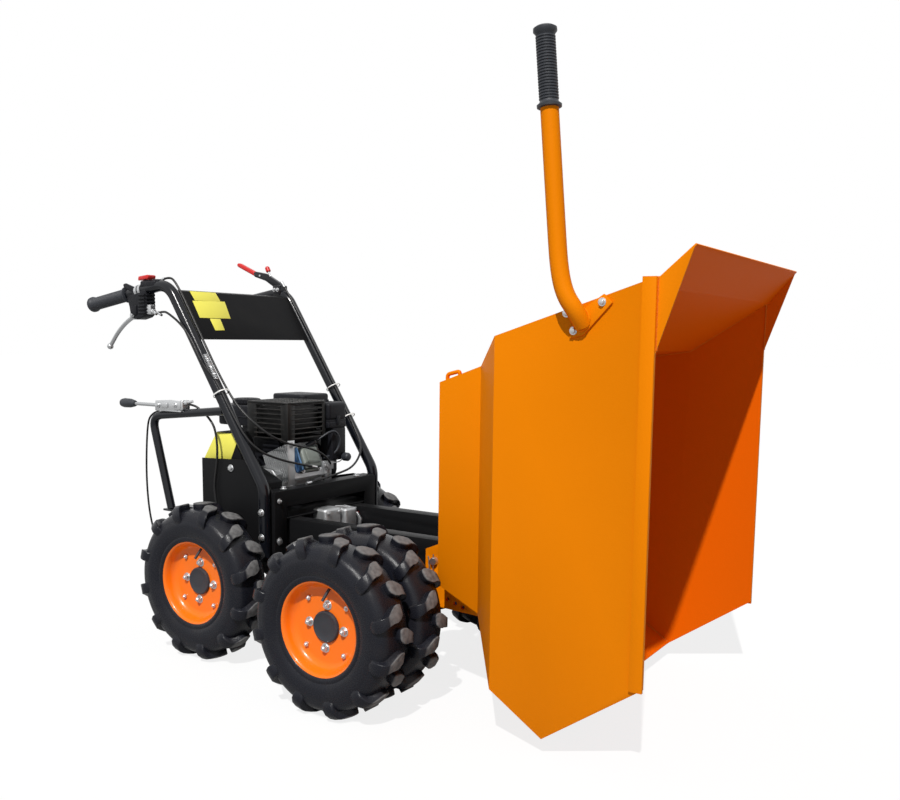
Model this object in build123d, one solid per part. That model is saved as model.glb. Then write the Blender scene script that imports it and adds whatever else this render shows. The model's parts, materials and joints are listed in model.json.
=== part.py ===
"""Walk-behind mini site dumper: four driven wheel stations with twin front wheels,
an open engine on a sheet-steel platform and a tipping skip hinged ahead of the front axle.

Millimetres. Everything is drawn from the front axle: x forward, y to the machine's left,
z up from the ground. export() then moves it so that the origin lies at the middle of the
machine's length. The skip is drawn tipped, as it stands at rest."""
from build123d import *
from math import cos, sin, radians, tan, hypot
import os

os.makedirs("parts", exist_ok=True)

# ---------------------------------------------------------------- driving dimensions
# wheels
WHEEL_RADIUS = 200.0      # over the lugs
LUG_HEIGHT = 17.0
LUG_COUNT = 12            # lugs on each side of the tread
LUG_SIDE = 4.0            # how far the lugs stand proud of the sidewall
WHEEL_FACETS = 24         # flat facets round a tyre or rim, two for each lug
TYRE_WIDTH = 108.0
BEAD_RADIUS = 101.5       # 8 inch rim
FLANGE_RADIUS = 114.0
RIM_WIDTH = 84.0
RIM_SHEET = 3.0
DISC_OFFSET = 10.0        # disc plane, outboard of the tyre's centre
WHEELBASE = 517.0
FRONT_TRACK = 832.0       # between the outer front tyres' centres
TWIN_SPACING = 130.0      # between the two tyres of a twin wheel
REAR_TRACK = 606.0
AXLE_RADIUS = 12.5        # stub shaft
HUB_RADIUS = 34.0
HUB_NOSE = 18.0           # hub reach outboard of the outer tyre's centre
CAP_DEPTH = 12.0          # closed end of the hub, outboard of the stub shaft
HUB_TAIL = 63.0           # hub reach inboard of the inner tyre's centre
DISC_FLAT = 84.0          # the disc is flat inside this radius and cones out to the rim beyond it
AXLE_TUBE_RADIUS = 26.0
DIFF_RADIUS = 58.0
GEARBOX_LENGTH = 70.0
LATCH_CLEARANCE = 31.0    # between the gearbox and the latch hook
TYRE_CLEARANCE = 12.0     # between a rear tyre and the handlebar tube beside it

# rails, platform and cheeks
RAIL_OUTER_Y = 145.0
RAIL_WIDTH = 40.0
RAIL_TOP = 352.0
RAIL_HEIGHT = 80.0
RAIL_WALL = 4.0
RAIL_NOSE = 38.0          # rail reach ahead of the pivot pin
SHEET = 4.0
PLATFORM_FRONT = -360.0
PLATFORM_BACK = -655.0
CROSSBAR_TOP = 425.0
CROSSBAR_LEG = 40.0
CHEEK_BOTTOM = 245.0
CHEEK_TOP = 498.0
LEG_WIDTH = 45.0

# handlebars
TUBE_RADIUS = 15.0
TUBE_SIDES = 10           # flats round every bent tube and bar that turns in nothing
TUBE_Y = REAR_TRACK / 2 - TYRE_WIDTH / 2 - TYRE_CLEARANCE - TUBE_RADIUS
TUBE_FOOT_X = -380.0
TUBE_FOOT_Z = 262.0
TUBE_KNEE_Z = 440.0
TUBE_TOP = (-716.0, 958.0)
GRIP_END = (-1033.0, 903.0)
GRIP_LENGTH = 160.0
GRIP_RADIUS = 17.5
TUBE_BEND = 70.0

# skip, as tipped: x is then the skip's height above its floor
SKIP_FLOOR_X = 150.0
SKIP_WAIST_X = 256.0
SKIP_SHOULDER_X = 370.0
SKIP_RIM_X = 699.0
SKIP_NARROW = 440.0       # outside width between the front tyres
SKIP_WIDE = 716.0         # outside width of the upper body
SKIP_SHEET = 3.0
RIM_BAND = 26.0
RIM_BAND_DEPTH = 6.0
DUMP_PLATE = 5.0
DUMP_TUBE_RADIUS = 15.5
DUMP_BEND = (507.0, 965.0)
DUMP_TOP = (470.0, 1388.0)
DUMP_GRIP = 148.0
SKIP_FRONT_Z = 271.0      # front edge of the floor
SKIP_FRONT_WAIST_Z = 221.0
SKIP_FRONT_SHOULDER_Z = 116.0
SKIP_LIP = (491.0, 39.0)
SKIP_BACK_Z = 727.0       # back edge of the floor
SKIP_BACK_WAIST_Z = 765.0
SKIP_BACK_SHOULDER_Z = 829.0
SKIP_BACK_RIM_Z = 936.0
SKIP_FRONT_RIM_Z = 184.0
BACK_KNEE = (520.0, 803.0)  # the back sheet bends outwards here, inside the side sheets
HOOD_TIP = (765.0, 990.0)
PIVOT_X = 97.0
PIVOT_Z = 305.0
PIN_RADIUS = 10.0
HITCH_PLATE = 8.0
PLAY = 2.0                # side play between hitch plate and rail
FIT = 0.05                # radial play of a shaft in its bore
GAP = 0.3                 # play between curved faces that only meet

# engine
CRANK_X = -545.0
CRANK_Z = 440.0
CRANKCASE_Y = 97.0        # half width of the crankcase
CRANKCASE_TOP = 466.0
CYLINDER_TILT = 67.0      # degrees forward from upright
CYLINDER_Y = -8.0
FIRST_FIN = 36.0          # from the crank
COVER_NEAR = 124.0        # the valve cover's inner face, from the crank
COVER_DEPTH = 28.0
FIN_COUNT = 8
GUARD_FRONT = -410.0      # muffler guard
GUARD_BACK = -558.0
GUARD_Y = (-100.0, 50.0)
GUARD_Z = (548.0, 650.0)
GUARD_BARS = 7
TANK_BOTTOM = 575.0
TANK_LOW = 57.0           # depth of the tank's low part, under its cap
TANK_HIGH = 84.0          # depth of its raised lobe
TANK_BACK = -700.0
FILTER_X = (-490.0, -400.0)
FILTER_Y = (53.0, 128.0)
FILTER_Z = (477.0, 568.0, 642.0)  # bottom of the duct, top of the duct, top of the box
BELT_GUARD_INSET = 20.7   # from the right cheek's outer face to the belt guard

# controls
LEVER_TUBE_RADIUS = 11.0
LEVER_Z = 632.0
CABLE_RADIUS = 3.0

CHEEK_Y = TUBE_Y - TUBE_RADIUS - GAP      # outer face of the side cheeks
ORIGIN_X = (GRIP_END[0] + HOOD_TIP[0]) / 2


# ---------------------------------------------------------------- helpers
def plate(points, y, thickness):
    """A flat plate parallel to the machine's side: (x, z) outline, from y to y + thickness."""
    outline = make_face(Polyline([(x, y, z) for x, z in points], close=True))
    return extrude(outline, amount=thickness, dir=(0, 1, 0))


def block(x0, x1, y0, y1, z0, z1):
    """A box between two corners."""
    return Pos((x0 + x1) / 2, (y0 + y1) / 2, (z0 + z1) / 2) * Box(x1 - x0, y1 - y0, z1 - z0)


def rod(start, end, radius):
    """A round shaft, pin or bore between two points."""
    way = Vector(*end) - Vector(*start)
    return extrude(Plane(origin=start, z_dir=way) * Circle(radius), amount=way.length)


def bar(start, end, radius, sides=TUBE_SIDES):
    """A straight bar with flats between two points."""
    way = Vector(*end) - Vector(*start)
    return extrude(Plane(origin=start, z_dir=way) * RegularPolygon(radius, sides), amount=way.length)


def tube(points, radii, radius):
    """A bar with flats along straight runs joined by tangent bends."""
    path = FilletPolyline(*points, radius=radii)
    section = RegularPolygon(radius, TUBE_SIDES)
    return sweep(Plane(origin=path @ 0, z_dir=path % 0) * section, path=path)


def bent_sheet(points, thickness, side):
    """The closed outline of a bent sheet whose outer face follows the points."""
    line = Polyline([(a, b) for a, b in points])
    return make_face(offset(line, amount=thickness, side=side))


def cable_path(points):
    """The route of a control cable; each bend is as large as its two runs allow."""
    corners = [Vector(*point) for point in points]
    radii = []
    for before, at, after in zip(corners, corners[1:], corners[2:]):
        turn = radians((at - before).get_angle(after - at))
        shorter = min((at - before).length, (after - at).length)
        radii.append(round(0.45 * shorter / tan(turn / 2), 1))
    path = FilletPolyline(*points, radius=radii)
    print("cable", round(path.length), "mm, bend radii", radii)
    return path


def sheath(path, radius):
    """A cable's sheath with four flats along its path."""
    return sweep(Plane(origin=path @ 0, z_dir=path % 0) * RegularPolygon(radius, 4), path=path)


def faceted(points, sides=WHEEL_FACETS):
    """A ring about the y axis with flat facets: closed (distance along y, radius) outline."""
    step = radians(360 / sides)
    faces = []
    for number in range(sides):
        first, last = (number - 0.5) * step, (number + 0.5) * step
        for (y0, r0), (y1, r1) in zip(points, points[1:] + points[:1]):
            corners = [(r0 * sin(first), y0, r0 * cos(first)), (r0 * sin(last), y0, r0 * cos(last)),
                       (r1 * sin(last), y1, r1 * cos(last)), (r1 * sin(first), y1, r1 * cos(first))]
            faces.append(make_face(Polyline(*corners, close=True)))
    return Solid(Shell(faces))


def barrel(points, sides):
    """A solid body about the y axis with flat facets: (distance along y, radius) rows, end to end."""
    rings = []
    for y, r in points:
        turns = [radians(360 * (number - 0.5) / sides) for number in range(sides)]
        rings.append([(r * sin(turn), y, r * cos(turn)) for turn in turns])
    faces = [make_face(Polyline(*ring, close=True)) for ring in (rings[0], rings[-1])]
    for ring, following in zip(rings, rings[1:]):
        for number in range(sides):
            corners = [ring[number - 1], ring[number], following[number], following[number - 1]]
            faces.append(make_face(Polyline(*corners, close=True)))
    return Solid(Shell(faces))


def left_of(shape):
    """The same piece on the machine's other side."""
    return mirror(shape, about=Plane.XZ)


def pair(shape):
    """A piece and its twin on the other side, as two separate solids in one node."""
    return Compound([shape, left_of(shape)])


def same(shape):
    return shape


def export(shape, name):
    export_step(Pos(-ORIGIN_X, 0, 0) * shape, f"parts/{name}.step")


# ---------------------------------------------------------------- wheels
def carcass():
    """The tyre without its lugs, centred on y = 0."""
    bead = RIM_WIDTH / 2 - 7.0
    crown = WHEEL_RADIUS - LUG_HEIGHT
    half = TYRE_WIDTH / 2 - LUG_SIDE
    side = [(bead, BEAD_RADIUS + GAP), (half, FLANGE_RADIUS + 34.0), (half - 10.0, crown)]
    other = [(-a, r) for a, r in reversed(side)]
    return faceted(side + other)


def lug():
    """One tread lug at the top of the wheel: an arm from the tread's centre to the shoulder."""
    half = TYRE_WIDTH / 2
    crown = WHEEL_RADIUS - LUG_HEIGHT
    across = [(-3, crown - 10), (-3, WHEEL_RADIUS), (half - 15, WHEEL_RADIUS), (half, WHEEL_RADIUS - 13),
              (half, crown - 34), (half - 20, crown - 34)]
    arm = [(-22, -5), (4, -5), (21, half + 4), (-9, half + 4)]
    reach = WHEEL_FACETS * 2
    rib = extrude(make_face(Polyline([(-reach, y, z) for y, z in across], close=True)),
                  amount=2 * reach, dir=(1, 0, 0))
    footprint = make_face(Polyline([(x, y, crown / 2) for x, y in arm], close=True))
    return rib & extrude(footprint, amount=WHEEL_RADIUS, dir=(0, 0, 1))


def tyre():
    """Carcass and lugs, the two sides of the tread half a pitch apart."""
    one = lug()
    other = left_of(one)
    pitch = 360 / LUG_COUNT
    lugs = []
    for number in range(LUG_COUNT):
        lugs.append(Rot(0, pitch * number, 0) * one)
        lugs.append(Rot(0, pitch * (number + 0.5), 0) * other)
    return carcass().fuse(*lugs)


def rim():
    """A pressed steel rim with its dished disc, outboard side towards -y."""
    half = RIM_WIDTH / 2
    seat = half - RIM_SHEET - 1.0
    inner = BEAD_RADIUS - RIM_SHEET
    face = -DISC_OFFSET
    outline = [(-half, FLANGE_RADIUS), (-seat, BEAD_RADIUS), (seat, BEAD_RADIUS), (half, FLANGE_RADIUS),
               (half, inner), (face - 8, inner), (face + 4, DISC_FLAT - 2), (face + 4, HUB_RADIUS - 3),
               (face, HUB_RADIUS - 3), (face, DISC_FLAT), (-half, inner)]
    return faceted(outline)


def hub(inner, outer):
    """The driven hub of one wheel station, from its inner end to its cap, on the right side."""
    body = bar((0, -outer, 0), (0, -inner, 0), HUB_RADIUS, 8)
    return body - rod((0, -outer + CAP_DEPTH, 0), (0, -inner + 1, 0), AXLE_RADIUS + FIT)


def make_wheels():
    one_tyre = tyre()
    one_rim = rim()
    outer = FRONT_TRACK / 2
    inner = outer - TWIN_SPACING
    rear = REAR_TRACK / 2
    stations = [("front", 0.0, (outer, inner)), ("rear", -WHEELBASE, (rear,))]
    for name, x, places in stations:
        axle = Pos(x, 0, WHEEL_RADIUS)
        rims = hub(places[-1] - HUB_TAIL, places[0] + HUB_NOSE)
        for place in places:
            rims = rims + Pos(0, -place, 0) * one_rim
        tyres = [Pos(0, -place, 0) * one_tyre for place in places]
        for side, turn in (("right", same), ("left", left_of)):
            export(axle * turn(rims), f"{name}_{side}_rims")
            for label, piece in zip(("tyre", "inner_tyre"), tyres):
                export(axle * turn(piece), f"{name}_{side}_{label}")


# ---------------------------------------------------------------- running gear
def axle_housing(x, half_length, shaft_reach):
    """Axle tube with its differential bulge and the two stub shafts."""
    bulge = DIFF_RADIUS + 14
    body = barrel([(-half_length, AXLE_TUBE_RADIUS), (-bulge, AXLE_TUBE_RADIUS), (-DIFF_RADIUS * 0.6, DIFF_RADIUS),
                   (DIFF_RADIUS * 0.6, DIFF_RADIUS), (bulge, AXLE_TUBE_RADIUS), (half_length, AXLE_TUBE_RADIUS)],
                  TUBE_SIDES)
    for side in (-1, 1):
        body = body + rod((0, side * (half_length - 4), 0), (0, side * shaft_reach, 0), AXLE_RADIUS)
    return Pos(x, 0, WHEEL_RADIUS) * body


def axle_saddles(x):
    """Saddle plates between an axle tube and the two rails above it."""
    top = RAIL_TOP - RAIL_HEIGHT
    outline = [(x - 45, top), (x + 45, top), (x + 36, WHEEL_RADIUS), (x - 36, WHEEL_RADIUS)]
    inner = RAIL_OUTER_Y - RAIL_WIDTH
    return plate(outline, inner + 8, RAIL_WIDTH - 16)


def gearbox_ends():
    """Where the gearbox begins and ends, ahead of the rear axle's differential."""
    back = -WHEELBASE + DIFF_RADIUS + 4
    return back, back + GEARBOX_LENGTH


def make_running_gear():
    outer = FRONT_TRACK / 2
    front_inner = outer - TWIN_SPACING - HUB_TAIL
    rear_inner = REAR_TRACK / 2 - HUB_TAIL
    front = axle_housing(0, front_inner - 5.0, outer + 2.0)
    rear = axle_housing(-WHEELBASE, rear_inner - 5.0, REAR_TRACK / 2 + 2.0)
    for name, x, housing in (("front_axle", 0.0, front), ("rear_axle", -WHEELBASE, rear)):
        saddle = axle_saddles(x)
        export(housing + saddle + left_of(saddle), name)
    gearbox_back, gearbox_front = gearbox_ends()
    gearbox = block(gearbox_back, gearbox_front, -45, 100, 215, RAIL_TOP)
    gearbox = chamfer(gearbox.edges().filter_by(Axis.Z), 12)
    export(gearbox, "gearbox")
    level = WHEEL_RADIUS + 30
    export(bar((gearbox_front, 0, level), (-DIFF_RADIUS - GAP, 0, level), 14), "front_drive_shaft")


# ---------------------------------------------------------------- chassis
def rail():
    """Right-hand rail: a box section whose nose carries the tipping pivot."""
    bottom = RAIL_TOP - RAIL_HEIGHT
    nose = PIVOT_X + RAIL_NOSE
    outline = [(PLATFORM_BACK, bottom), (PLATFORM_BACK, RAIL_TOP), (PIVOT_X + 8, RAIL_TOP),
               (nose, PIVOT_Z + 27), (nose, PIVOT_Z - 26), (PIVOT_X - 10, bottom)]
    body = plate(outline, -RAIL_OUTER_Y, RAIL_WIDTH)
    hollow = block(PLATFORM_BACK - 1, PIVOT_X - 45, -RAIL_OUTER_Y + RAIL_WALL,
                   -RAIL_OUTER_Y + RAIL_WIDTH - RAIL_WALL, bottom + RAIL_WALL, RAIL_TOP - RAIL_WALL)
    bore = rod((PIVOT_X, -RAIL_OUTER_Y - 1, PIVOT_Z), (PIVOT_X, -RAIL_OUTER_Y + RAIL_WIDTH + 1, PIVOT_Z),
               PIN_RADIUS + FIT)
    return body - hollow - bore


def make_chassis():
    right = rail()
    export(right, "rail_right")
    export(left_of(right), "rail_left")
    inner = CHEEK_Y - SHEET
    front = PLATFORM_FRONT - SHEET
    deck = block(PLATFORM_BACK, front, -inner, inner, RAIL_TOP, RAIL_TOP + SHEET)
    export(deck, "platform")
    back = PLATFORM_BACK + 35
    cheek = [(back, CHEEK_BOTTOM), (back, CHEEK_TOP), (-432, CHEEK_TOP + 7), (front, CROSSBAR_TOP),
             (front, CHEEK_BOTTOM)]
    export(plate(cheek, -CHEEK_Y, SHEET), "cheek_right")
    low_cheek = [(back, CHEEK_BOTTOM), (back, RAIL_TOP + 40), (-440, CROSSBAR_TOP), (front, CROSSBAR_TOP),
                 (front, CHEEK_BOTTOM)]
    export(plate(low_cheek, inner, SHEET), "cheek_left")
    export(crossbar(), "crossbar")


def crossbar():
    """Angle iron over the front of the platform, on two folded legs."""
    back = PLATFORM_FRONT - SHEET
    low = CROSSBAR_TOP - CROSSBAR_LEG
    face = [(-CHEEK_Y, CROSSBAR_TOP), (CHEEK_Y, CROSSBAR_TOP), (CHEEK_Y - CROSSBAR_LEG, low),
            (-CHEEK_Y + CROSSBAR_LEG, low)]
    front_leg = make_face(Polyline([(back, y, z) for y, z in face], close=True))
    angle = extrude(front_leg, amount=SHEET, dir=(1, 0, 0))
    inner = CHEEK_Y - SHEET
    angle = angle + block(PLATFORM_FRONT - CROSSBAR_LEG, PLATFORM_FRONT, -inner, inner,
                      CROSSBAR_TOP, CROSSBAR_TOP + SHEET)
    leg = block(back, PLATFORM_FRONT, -CHEEK_Y, -CHEEK_Y + LEG_WIDTH, CHEEK_BOTTOM, CROSSBAR_TOP)
    return angle + leg + left_of(leg)


# ---------------------------------------------------------------- handlebars
def along_grip(distance, drop=0.0):
    """A point (x, z) on the level end of the bar, measured from its bend towards the grip."""
    run = Vector(GRIP_END[0] - TUBE_TOP[0], 0, GRIP_END[1] - TUBE_TOP[1]).normalized()
    return TUBE_TOP[0] + run.X * distance, TUBE_TOP[1] + run.Z * distance - drop


def grip_run():
    """Length of the bar's level end."""
    return hypot(GRIP_END[0] - TUBE_TOP[0], GRIP_END[1] - TUBE_TOP[1])


def handlebar(radius=TUBE_RADIUS):
    """Right-hand bar in its own plane: foot, long rake and level grip end."""
    end_x, end_z = along_grip(grip_run() - 5)
    points = [(TUBE_FOOT_X, -TUBE_Y, TUBE_FOOT_Z), (TUBE_FOOT_X, -TUBE_Y, TUBE_KNEE_Z),
              (TUBE_TOP[0], -TUBE_Y, TUBE_TOP[1]), (end_x, -TUBE_Y, end_z)]
    return tube(points, TUBE_BEND, radius)


def sleeve(start, end, radius, core, bead):
    """A rubber grip over a bar: closed at its far end, with a bead at each end."""
    start, end = Vector(*start), Vector(*end)
    run = (end - start).normalized()
    skin = bar(start, end, radius)
    skin = skin + bar(start, start + run * bead, radius + 4) + bar(end - run * bead, end, radius + 4)
    return skin - bar(start - run, end - run * 4, core)


def rake_point(z, out=0.0):
    """The handlebar's x at height z on its raked run, out mm in front of its axis."""
    share = (z - TUBE_KNEE_Z) / (TUBE_TOP[1] - TUBE_KNEE_Z)
    return TUBE_FOOT_X + share * (TUBE_TOP[0] - TUBE_FOOT_X) + out


def dash_panel():
    """Sheet panel between the raked tubes, its top edge folded back."""
    top, bottom = 938.0, 812.0
    front = TUBE_RADIUS * 0.6
    line = [(rake_point(bottom, front), bottom), (rake_point(top, front), top),
            (rake_point(top, front) - 20, top + 4)]
    face = Plane.XZ * bent_sheet(line, 2.0, Side.LEFT)
    panel = Pos(0, TUBE_Y, 0) * extrude(face, amount=2 * TUBE_Y)
    clear = handlebar(TUBE_RADIUS + GAP)
    return panel - clear - left_of(clear)


def make_handlebars():
    tube_bar = handlebar()
    start, end = along_grip(grip_run() - GRIP_LENGTH), GRIP_END
    rubber = sleeve((start[0], -TUBE_Y, start[1]), (end[0], -TUBE_Y, end[1]), GRIP_RADIUS,
                    TUBE_RADIUS + GAP, 6)
    export(tube_bar, "handlebar_right")
    export(left_of(tube_bar), "handlebar_left")
    export(pair(rubber), "grips")
    export(dash_panel(), "dash_panel")


# ---------------------------------------------------------------- controls
def clutch_lever():
    """Hand lever below the right grip: a curved blade with a ball at its tip."""
    path = FilletPolyline((-822, -TUBE_Y, 868), (-868, -TUBE_Y, 838), (-925, -TUBE_Y, 747), radius=60)
    blade = sweep(Plane(origin=path @ 0, z_dir=path % 0) * Rectangle(11, 7), path=path)
    return blade + bar((-925, -TUBE_Y - 8, 747), (-925, -TUBE_Y + 8, 747), 9)


def bracket_arm(radius):
    """The bent tube that carries the gear lever."""
    end_z = LEVER_Z - 3
    points = [(PLATFORM_BACK - 71, -TUBE_Y, RAIL_TOP), (-795, -TUBE_Y, LEVER_Z - 30),
              (rake_point(end_z, -TUBE_RADIUS), -TUBE_Y, end_z)]
    return tube(points, 34, radius)


def gear_bracket():
    """Tube that carries the gear lever, from a strap under the platform to the handlebar."""
    foot_x = PLATFORM_BACK - 71
    arm = bracket_arm(LEVER_TUBE_RADIUS) - handlebar(TUBE_RADIUS + GAP)
    strap = block(foot_x - 18, PLATFORM_BACK + 28, -TUBE_Y - 14, -RAIL_OUTER_Y - 5, RAIL_TOP - 6, RAIL_TOP)
    return arm + strap


def lever_channel():
    """Folded channel over the bracket tube that guides the gear lever."""
    y0, y1 = -TUBE_Y - 16, -TUBE_Y + 16
    body = block(-762, -664, y0, y1, LEVER_Z - 13, LEVER_Z + 13)
    body = body - block(-770, -668, y0 + 3, y1 - 3, LEVER_Z - 9, LEVER_Z + 20)
    return body - bracket_arm(LEVER_TUBE_RADIUS + GAP)


def make_controls():
    centre_x, centre_z = along_grip(88)
    clear = handlebar(TUBE_RADIUS + GAP)
    housing = block(centre_x - 46, centre_x + 40, -TUBE_Y - 19, -TUBE_Y + 19, centre_z - 82, centre_z + 6)
    housing = chamfer(housing.edges().filter_by(Axis.Y), 5) - clear
    blade = clutch_lever()
    export(housing - blade, "control_housing")
    export(blade, "clutch_lever")
    switch_x, switch_z = along_grip(52)
    base = block(switch_x - 22, switch_x + 20, -TUBE_Y - 17, -TUBE_Y + 17, switch_z + 1, switch_z + 24)
    export(base - clear - housing, "switch_housing")
    button = block(switch_x - 20, switch_x + 12, -TUBE_Y - 12, -TUBE_Y + 12, switch_z + 24, switch_z + 34)
    export(button, "stop_switch")
    body = bar((-730, TUBE_Y, 974), (-806, TUBE_Y, 1014), 11, 8)
    clamp = block(-752, -726, TUBE_Y - 12, TUBE_Y + 12, 950, 978)
    export((body + clamp) - left_of(clear), "dump_release_body")
    paddle = bar((-806, TUBE_Y, 1014), (-886, TUBE_Y, 1046), 7, 8) - body
    export(paddle, "dump_release_lever")
    export(gear_bracket(), "gear_bracket")
    export(lever_channel(), "gear_lever_channel")
    lever = block(-862, -690, -TUBE_Y - 5, -TUBE_Y + 5, LEVER_Z - 4, LEVER_Z + 4)
    pivot = block(-739, -731, -TUBE_Y - 13, -TUBE_Y + 13, LEVER_Z - 4, LEVER_Z + 4)
    export(lever + pivot, "gear_lever")
    knob = bar((-920, -TUBE_Y, LEVER_Z), (-862 - GAP, -TUBE_Y, LEVER_Z), 13)
    export(knob, "gear_knob")


def beside_bar(z, out, across):
    """A point out mm in front of the raked bar's axis and across mm to the machine's left of y = 0."""
    lean = (TUBE_TOP[1] - TUBE_KNEE_Z) / hypot(TUBE_TOP[0] - TUBE_FOOT_X, TUBE_TOP[1] - TUBE_KNEE_Z)
    return rake_point(z, out / lean), across, z


def cable_tie(z, y, held):
    """A tie round one handlebar and the cables on it."""
    middle = Vector(*beside_bar(z, 4, y))
    run = (Vector(*beside_bar(z + 5, 4, y)) - middle).normalized()
    band = bar(middle - run * 2, middle + run * 2, TUBE_RADIUS + 2 * CABLE_RADIUS + 2)
    tubes = handlebar(TUBE_RADIUS + GAP)
    band = band - tubes - left_of(tubes)
    for path in held:
        band = band - sheath(path, CABLE_RADIUS + GAP)
    return band


def make_cables():
    """Control cables, tied to the bars and held at both ends. Each row is one cable's route."""
    on_bar = TUBE_RADIUS + 1
    inside, outside = TUBE_Y - 9, TUBE_Y + 9
    cheek = -CHEEK_Y - CABLE_RADIUS - 3
    routes = {
        "throttle_cable": [(-748, -inside, 984), (-706, -inside, 974), beside_bar(880, on_bar + 2, -inside),
                           beside_bar(668, on_bar, -inside), (-434, -203, 600), (-388, -150, 549),
                           (-386, -40, 526), (-392, 30, 498), (-402, 60, 472)],
        "clutch_cable": [(-752, -TUBE_Y - 4, 880), (-700, -TUBE_Y - 14, 858), beside_bar(786, -14, -TUBE_Y - 26),
                         beside_bar(745, 5, -TUBE_Y - 23), beside_bar(708, on_bar + 1, -outside),
                         beside_bar(628, on_bar + 1, -outside), (-424, -TUBE_Y, 542), (-386, -150, 500),
                         (-386, -20, 472)],
        "gear_cable": [(-663, -TUBE_Y - 4, LEVER_Z + 8), (-610, -TUBE_Y + 4, LEVER_Z + 22),
                       (-560, 2.7 - CHEEK_Y, LEVER_Z + 14), (-545, 3.7 - CHEEK_Y, 580),
                       (-548, cheek, 470), (-551, cheek, 262)],
        "dump_cable": [(-720, inside, 984), beside_bar(880, on_bar + 4, inside), beside_bar(572, on_bar, inside),
                       (-394, 193, 506), (-384, 148, 460), (-380, 78, 444), (-377, -64, 434)],
    }
    paths = {name: cable_path(route) for name, route in routes.items()}
    for name, path in paths.items():
        export(sheath(path, CABLE_RADIUS), name)
    right = [paths["throttle_cable"], paths["clutch_cable"]]
    left = [paths["dump_cable"]]
    ties = [(674, -TUBE_Y, right), (674, TUBE_Y, left), (588, TUBE_Y, left)]
    export(Compound([cable_tie(z, y, held) for z, y, held in ties]), "cable_ties")


# ---------------------------------------------------------------- engine
def along_cylinder(distance):
    """A point (x, z) on the cylinder's axis, measured from the crank."""
    tilt = radians(CYLINDER_TILT)
    return CRANK_X + distance * sin(tilt), CRANK_Z + distance * cos(tilt)


def cylinder_piece(near, far, across, width):
    """A block square to the cylinder's axis: from near to far from the crank."""
    x, z = along_cylinder((near + far) / 2)
    return Pos(x, CYLINDER_Y, z) * Rot(0, CYLINDER_TILT, 0) * Box(across, width, far - near)


def muffler_guard():
    """Cage of flat bars round the muffler with a broad front post and a slotted top."""
    y0, y1 = GUARD_Y
    z0, z1 = GUARD_Z
    shell = block(GUARD_BACK, GUARD_FRONT, y0, y1, z0, z1)
    room = block(GUARD_BACK + 3, GUARD_FRONT - 3, y0 + 3, y1 - 3, z0 - 1, z1 - 3)
    cage = shell - room
    pitch = (z1 - z0 - 6) / GUARD_BARS
    for number in range(GUARD_BARS):
        low = z0 + 3 + pitch * number
        cage = cage - block(GUARD_BACK + 20, GUARD_FRONT - 18, y0 - 1, y1 + 1, low + 3, low + pitch)
        cage = cage - block(GUARD_BACK - 1, GUARD_FRONT + 1, y0 + 18, y1 - 18, low + 3, low + pitch)
    for number in range(5):
        x = GUARD_BACK + 18 + 24 * number
        cage = cage - block(x, x + 14, y0 + 14, y1 - 14, z1 - 4, z1 + 1)
    return cage


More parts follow.
